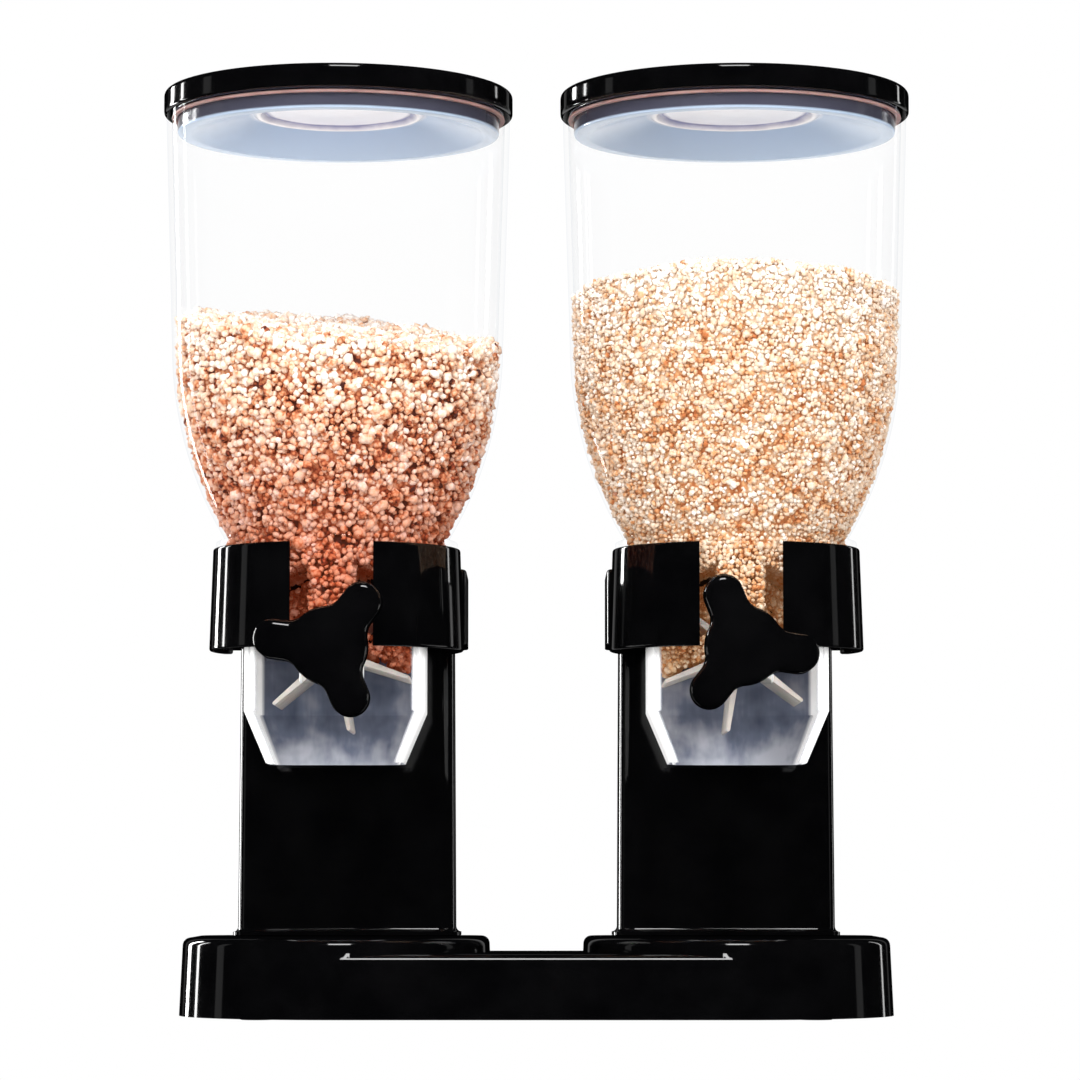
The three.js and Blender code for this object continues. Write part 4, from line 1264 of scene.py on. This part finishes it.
FILLS = {
    # core: the tone of the body under the grains, dark as painted shade of the gaps.
    "left": {"size": 3.2 * MM, "core": 0.2, "sectors": 2, "top": left_top, "dark": 0.006},
    "right": {"size": 2.3 * MM, "core": 0.25, "sectors": 3, "top": right_top, "dark": 0.0},
}


def stored_cereal(side, material):
    fill = FILLS[side]
    size = fill["size"]
    random = np.random.default_rng(SEED + SIDES.index(side))
    low, high = (-RIM_RADIUS, -RIM_RADIUS, SHAFT_Z + 5 * MM), (RIM_RADIUS, RIM_RADIUS, FILL_HIGHEST)
    centres = jittered_grid(low, high, size * 0.74, random)
    depth = fill_depth(centres, fill["top"])
    centres = centres[(depth > size * SHELL_OUTSIDE) & (depth < size * SHELL_INSIDE)]
    angle = np.arctan2(centres[:, 1], centres[:, 0])
    sector = np.floor((angle / (2 * math.pi) + 0.5) * fill["sectors"]).clip(0, fill["sectors"] - 1)
    for number in range(fill["sectors"]):
        made = grains(f"{side}_cereal_{number + 1}", centres[sector == number], fill, random, material)
        placed(made, HOPPER_X[side])
        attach(made, f"{side}_hopper")


def cereal_core(side, material):
    """A body just under the outer grains, seen only in the gaps between them, and dark as painted shade of those
    gaps.
    """
    fill = FILLS[side]
    inset = LENS_WALL + 1.25 * fill["size"]

    def point(x, y, z):
        return (x, y, min(z, fill["top"](x, y) - 1.4 * fill["size"]))

    rings = []
    for z in np.linspace(CORE_LOWEST, CORE_HIGHEST, 40):
        circle = arc(0, 0, wall_radius(z) - inset, 0, 360, HOPPER_ROUND)[:-1]
        rings.append([point(x, y, z) for x, y in circle])
    made = loft(f"{side}_cereal_core", rings)
    point_values(made.data, "tone", [fill["core"]] * len(made.data.vertices))
    made.data.materials.append(material)
    placed(made, HOPPER_X[side])
    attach(made, f"{side}_hopper")


PORTION_BOX = (33 * MM, 25 * MM, 33 * MM)  # half sizes
PORTION_HALF = 24.5 * MM  # depth along the shaft
PORTION_RADIUS = 32.5 * MM
PORTION_HUB = 9.4 * MM
LOWEST_POCKET = {"left": 1, "right": -1}  # the side on which the cereal reaches furthest down


def wheel_cereal(side, material):
    """The grains that the wheel's filled pockets hold. They turn with the wheel."""
    fill = FILLS[side]
    size = fill["size"]
    random = np.random.default_rng(SEED + 5 + SIDES.index(side))
    centres = jittered_grid([-half for half in PORTION_BOX], PORTION_BOX, size * 0.9, random)
    x, y, z = centres.T
    radius, depth = np.hypot(x, z), np.abs(y)
    angle = np.degrees(np.arctan2(z, x))
    pitch = 360 / BLADES
    turn = (angle - BLADE_ANGLE[side]) % pitch
    off_blade = radius * np.radians(np.minimum(turn, pitch - turn))
    pocket_middle = np.radians(angle - turn + pitch / 2)
    up, across = np.sin(pocket_middle), np.cos(pocket_middle) * LOWEST_POCKET[side]
    keep = (up > -0.35) & ((across > -0.5) | (up > 0.3)) & (off_blade > size * 0.5 + 1.6 * MM)
    keep &= (radius < PORTION_RADIUS - size / 2) & (radius > PORTION_HUB + size / 2)
    keep &= depth < PORTION_HALF - size / 2
    keep &= (depth > PORTION_HALF - size * 2.6) | (radius > PORTION_RADIUS - size * 2.4)
    made = grains(f"{side}_portioned_cereal", centres[keep], fill, random, material)
    placed(made, HOPPER_X[side], 0, SHAFT_Z)
    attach(made, f"{side}_drive")


def cereals():
    pink_tan = [
        (0.0, (0.03, 0.01, 0.01)),
        (0.12, (0.24, 0.05, 0.02)),
        (0.3, (0.54, 0.22, 0.1)),
        (0.46, (0.69, 0.45, 0.3)),
        (0.7, (0.71, 0.57, 0.45)),
        (1.0, (0.86, 0.81, 0.75)),
    ]
    cream_tan = [
        (0.0, (0.38, 0.12, 0.04)),
        (0.22, (0.58, 0.3, 0.14)),
        (0.4, (0.63, 0.44, 0.3)),
        (0.68, (0.66, 0.55, 0.44)),
        (1.0, (0.86, 0.81, 0.76)),
    ]
    neck = MOUTH_Z + NECK_RISE
    left = cereal_material(
        "chunky_cereal",
        pink_tan,
        low_tint=(0.72, 0.34, 0.26),
        low_z=neck,
        high_z=0.262,
        pale_z=0.245,
        painted_glow=(0.045, 0.009, 0.003),
        painted_low_glow=1.0,
    )
    right = cereal_material(
        "fine_cereal",
        cream_tan,
        low_tint=(1.0, 0.88, 0.72),
        low_z=neck - 20 * MM,
        high_z=0.21,
        pale_z=0.262,
        painted_glow=(0.05, 0.022, 0.008),
        painted_low_glow=1.3,
    )
    for side, material in zip(SIDES, (left, right)):
        stored_cereal(side, material)
        cereal_core(side, material)
        wheel_cereal(side, material)


# ---- Carried-over CAD nodes ----


def finish_cad_nodes():
    """Every CAD node that no piece has replaced gets its procedural material."""
    for name, cad_node in frame["nodes"].items():
        cad_node.data.materials.clear()
        cad_node.data.materials.append(MATERIALS[NODE_SLOT[name]])


# ---- Studio ----

CAMERA_PLACE = (0.0015, -1.8, 0.058)
CAMERA_PITCH = 4.533
CAMERA_LENS = 142


def camera():
    data = bpy.data.cameras.new("camera")
    data.lens = CAMERA_LENS
    data.sensor_width = 36
    data.clip_end = 50
    made = bpy.data.objects.new("camera", data)
    made.location = CAMERA_PLACE
    made.rotation_euler = (math.radians(90 + CAMERA_PITCH), 0, 0)
    bpy.context.scene.collection.objects.link(made)
    bpy.context.scene.camera = made


def area_light(name, place, target, size, power, in_reflections=True):
    data = bpy.data.lights.new(name, "AREA")
    data.shape = "RECTANGLE"
    data.size, data.size_y = size
    data.energy = power
    made = bpy.data.objects.new(name, data)
    made.location = place
    made.rotation_euler = (Vector(target) - Vector(place)).to_track_quat("-Z", "Y").to_euler()
    made.visible_camera = False
    made.visible_glossy = in_reflections
    bpy.context.scene.collection.objects.link(made)


STRIP_LOW, STRIP_HIGH = -0.06, 0.70  # no longer than the front view needs


def strip_light(name, angle, width, radiance, distance=1.35):
    """An upright strip, seen from the object at an angle from the front, positive to the right."""
    height = STRIP_HIGH - STRIP_LOW
    middle_z = (STRIP_HIGH + STRIP_LOW) / 2
    turn = math.radians(angle)
    place = (distance * math.sin(turn), -distance * math.cos(turn), middle_z)
    area_light(name, place, (0, 0, middle_z), (width, height), radiance * math.pi * width * height)


def lamps():
    area_light("key softbox", (-0.9, -1.9, 1.1), (0, 0, 0.2), (1.1, 1.1), 30, False)
    area_light("fill softbox", (1.1, -1.8, 0.7), (0, 0, 0.2), (1.1, 1.1), 18, False)
    area_light("overhead glint", (0.04, -1.1, 1.25), (0, 0, 0.3), (0.4, 0.5), 14)
    strip_light("left rim", -134, 0.12, 30.0)
    strip_light("left rim echo", -118, 0.07, 16.0)
    strip_light("left side", -91, 0.16, 0.5)
    strip_light("right rim", 130, 0.07, 4.0)
    strip_light("right side", 97, 0.16, 0.4)


AMBIENT = 0.62
FLOOR_HALF = 3.0


def backdrop():
    """White behind everything in sight. Reflections find it only behind the object, and black in front."""
    world = bpy.data.worlds.new("studio")
    bpy.context.scene.world = world
    world.use_nodes = True
    behind = ranged(world, coordinates(world, "Generated")["Y"], 0.006, 1.0, 0.84, 0.97)
    ray = node(world, "ShaderNodeLightPath").outputs
    shiny = math_node(world, "MULTIPLY", ray["Is Glossy Ray"], behind)
    soft = math_node(world, "MULTIPLY", ray["Is Diffuse Ray"], AMBIENT)
    strength = math_node(world, "ADD", ray["Is Camera Ray"], math_node(world, "ADD", shiny, soft))
    feed(world, world.node_tree.nodes["Background"], Color=(1, 1, 1, 1), Strength=strength)


def floor():
    """A pale floor that lights the object from below and is as white as the backdrop to the eye."""
    corners = [(x * FLOOR_HALF, y * FLOOR_HALF, 0) for x, y in ((-1, -1), (1, -1), (1, 1), (-1, 1))]
    made = piece("floor", corners, [(0, 1, 2, 3)])
    material, surface = shader("pale_floor", 0.8, Base_Color=(0.85, 0.85, 0.85, 1), Specular_IOR_Level=0.0)
    path = node(material, "ShaderNodeLightPath")
    white = node(material, "ShaderNodeEmission")
    seen = mix_shaders(material, path.outputs["Is Camera Ray"], surface.outputs[0], white.outputs[0])
    link(material, seen, material.node_tree.nodes["Material Output"].inputs["Surface"])
    made.data.materials.append(material)
    made.visible_glossy = False


def studio():
    lamps()
    backdrop()
    floor()
    bpy.context.scene.view_settings.view_transform = "Standard"


# ---- Build ----

camera()
studio()
base_shell()
feet()
screws()
for side_name in SIDES:
    post(side_name)
    post_cover(side_name)
    cradle(side_name)
    canister(side_name)
    lid(side_name)
    lid_liner(side_name)
    lid_seal(side_name)
    knob(side_name)
    paddle_wheel(side_name)
    bush(side_name, "front")
    bush(side_name, "rear")
    drive_shaft(side_name)
    shaft_clip(side_name)
cereals()
finish_cad_nodes()
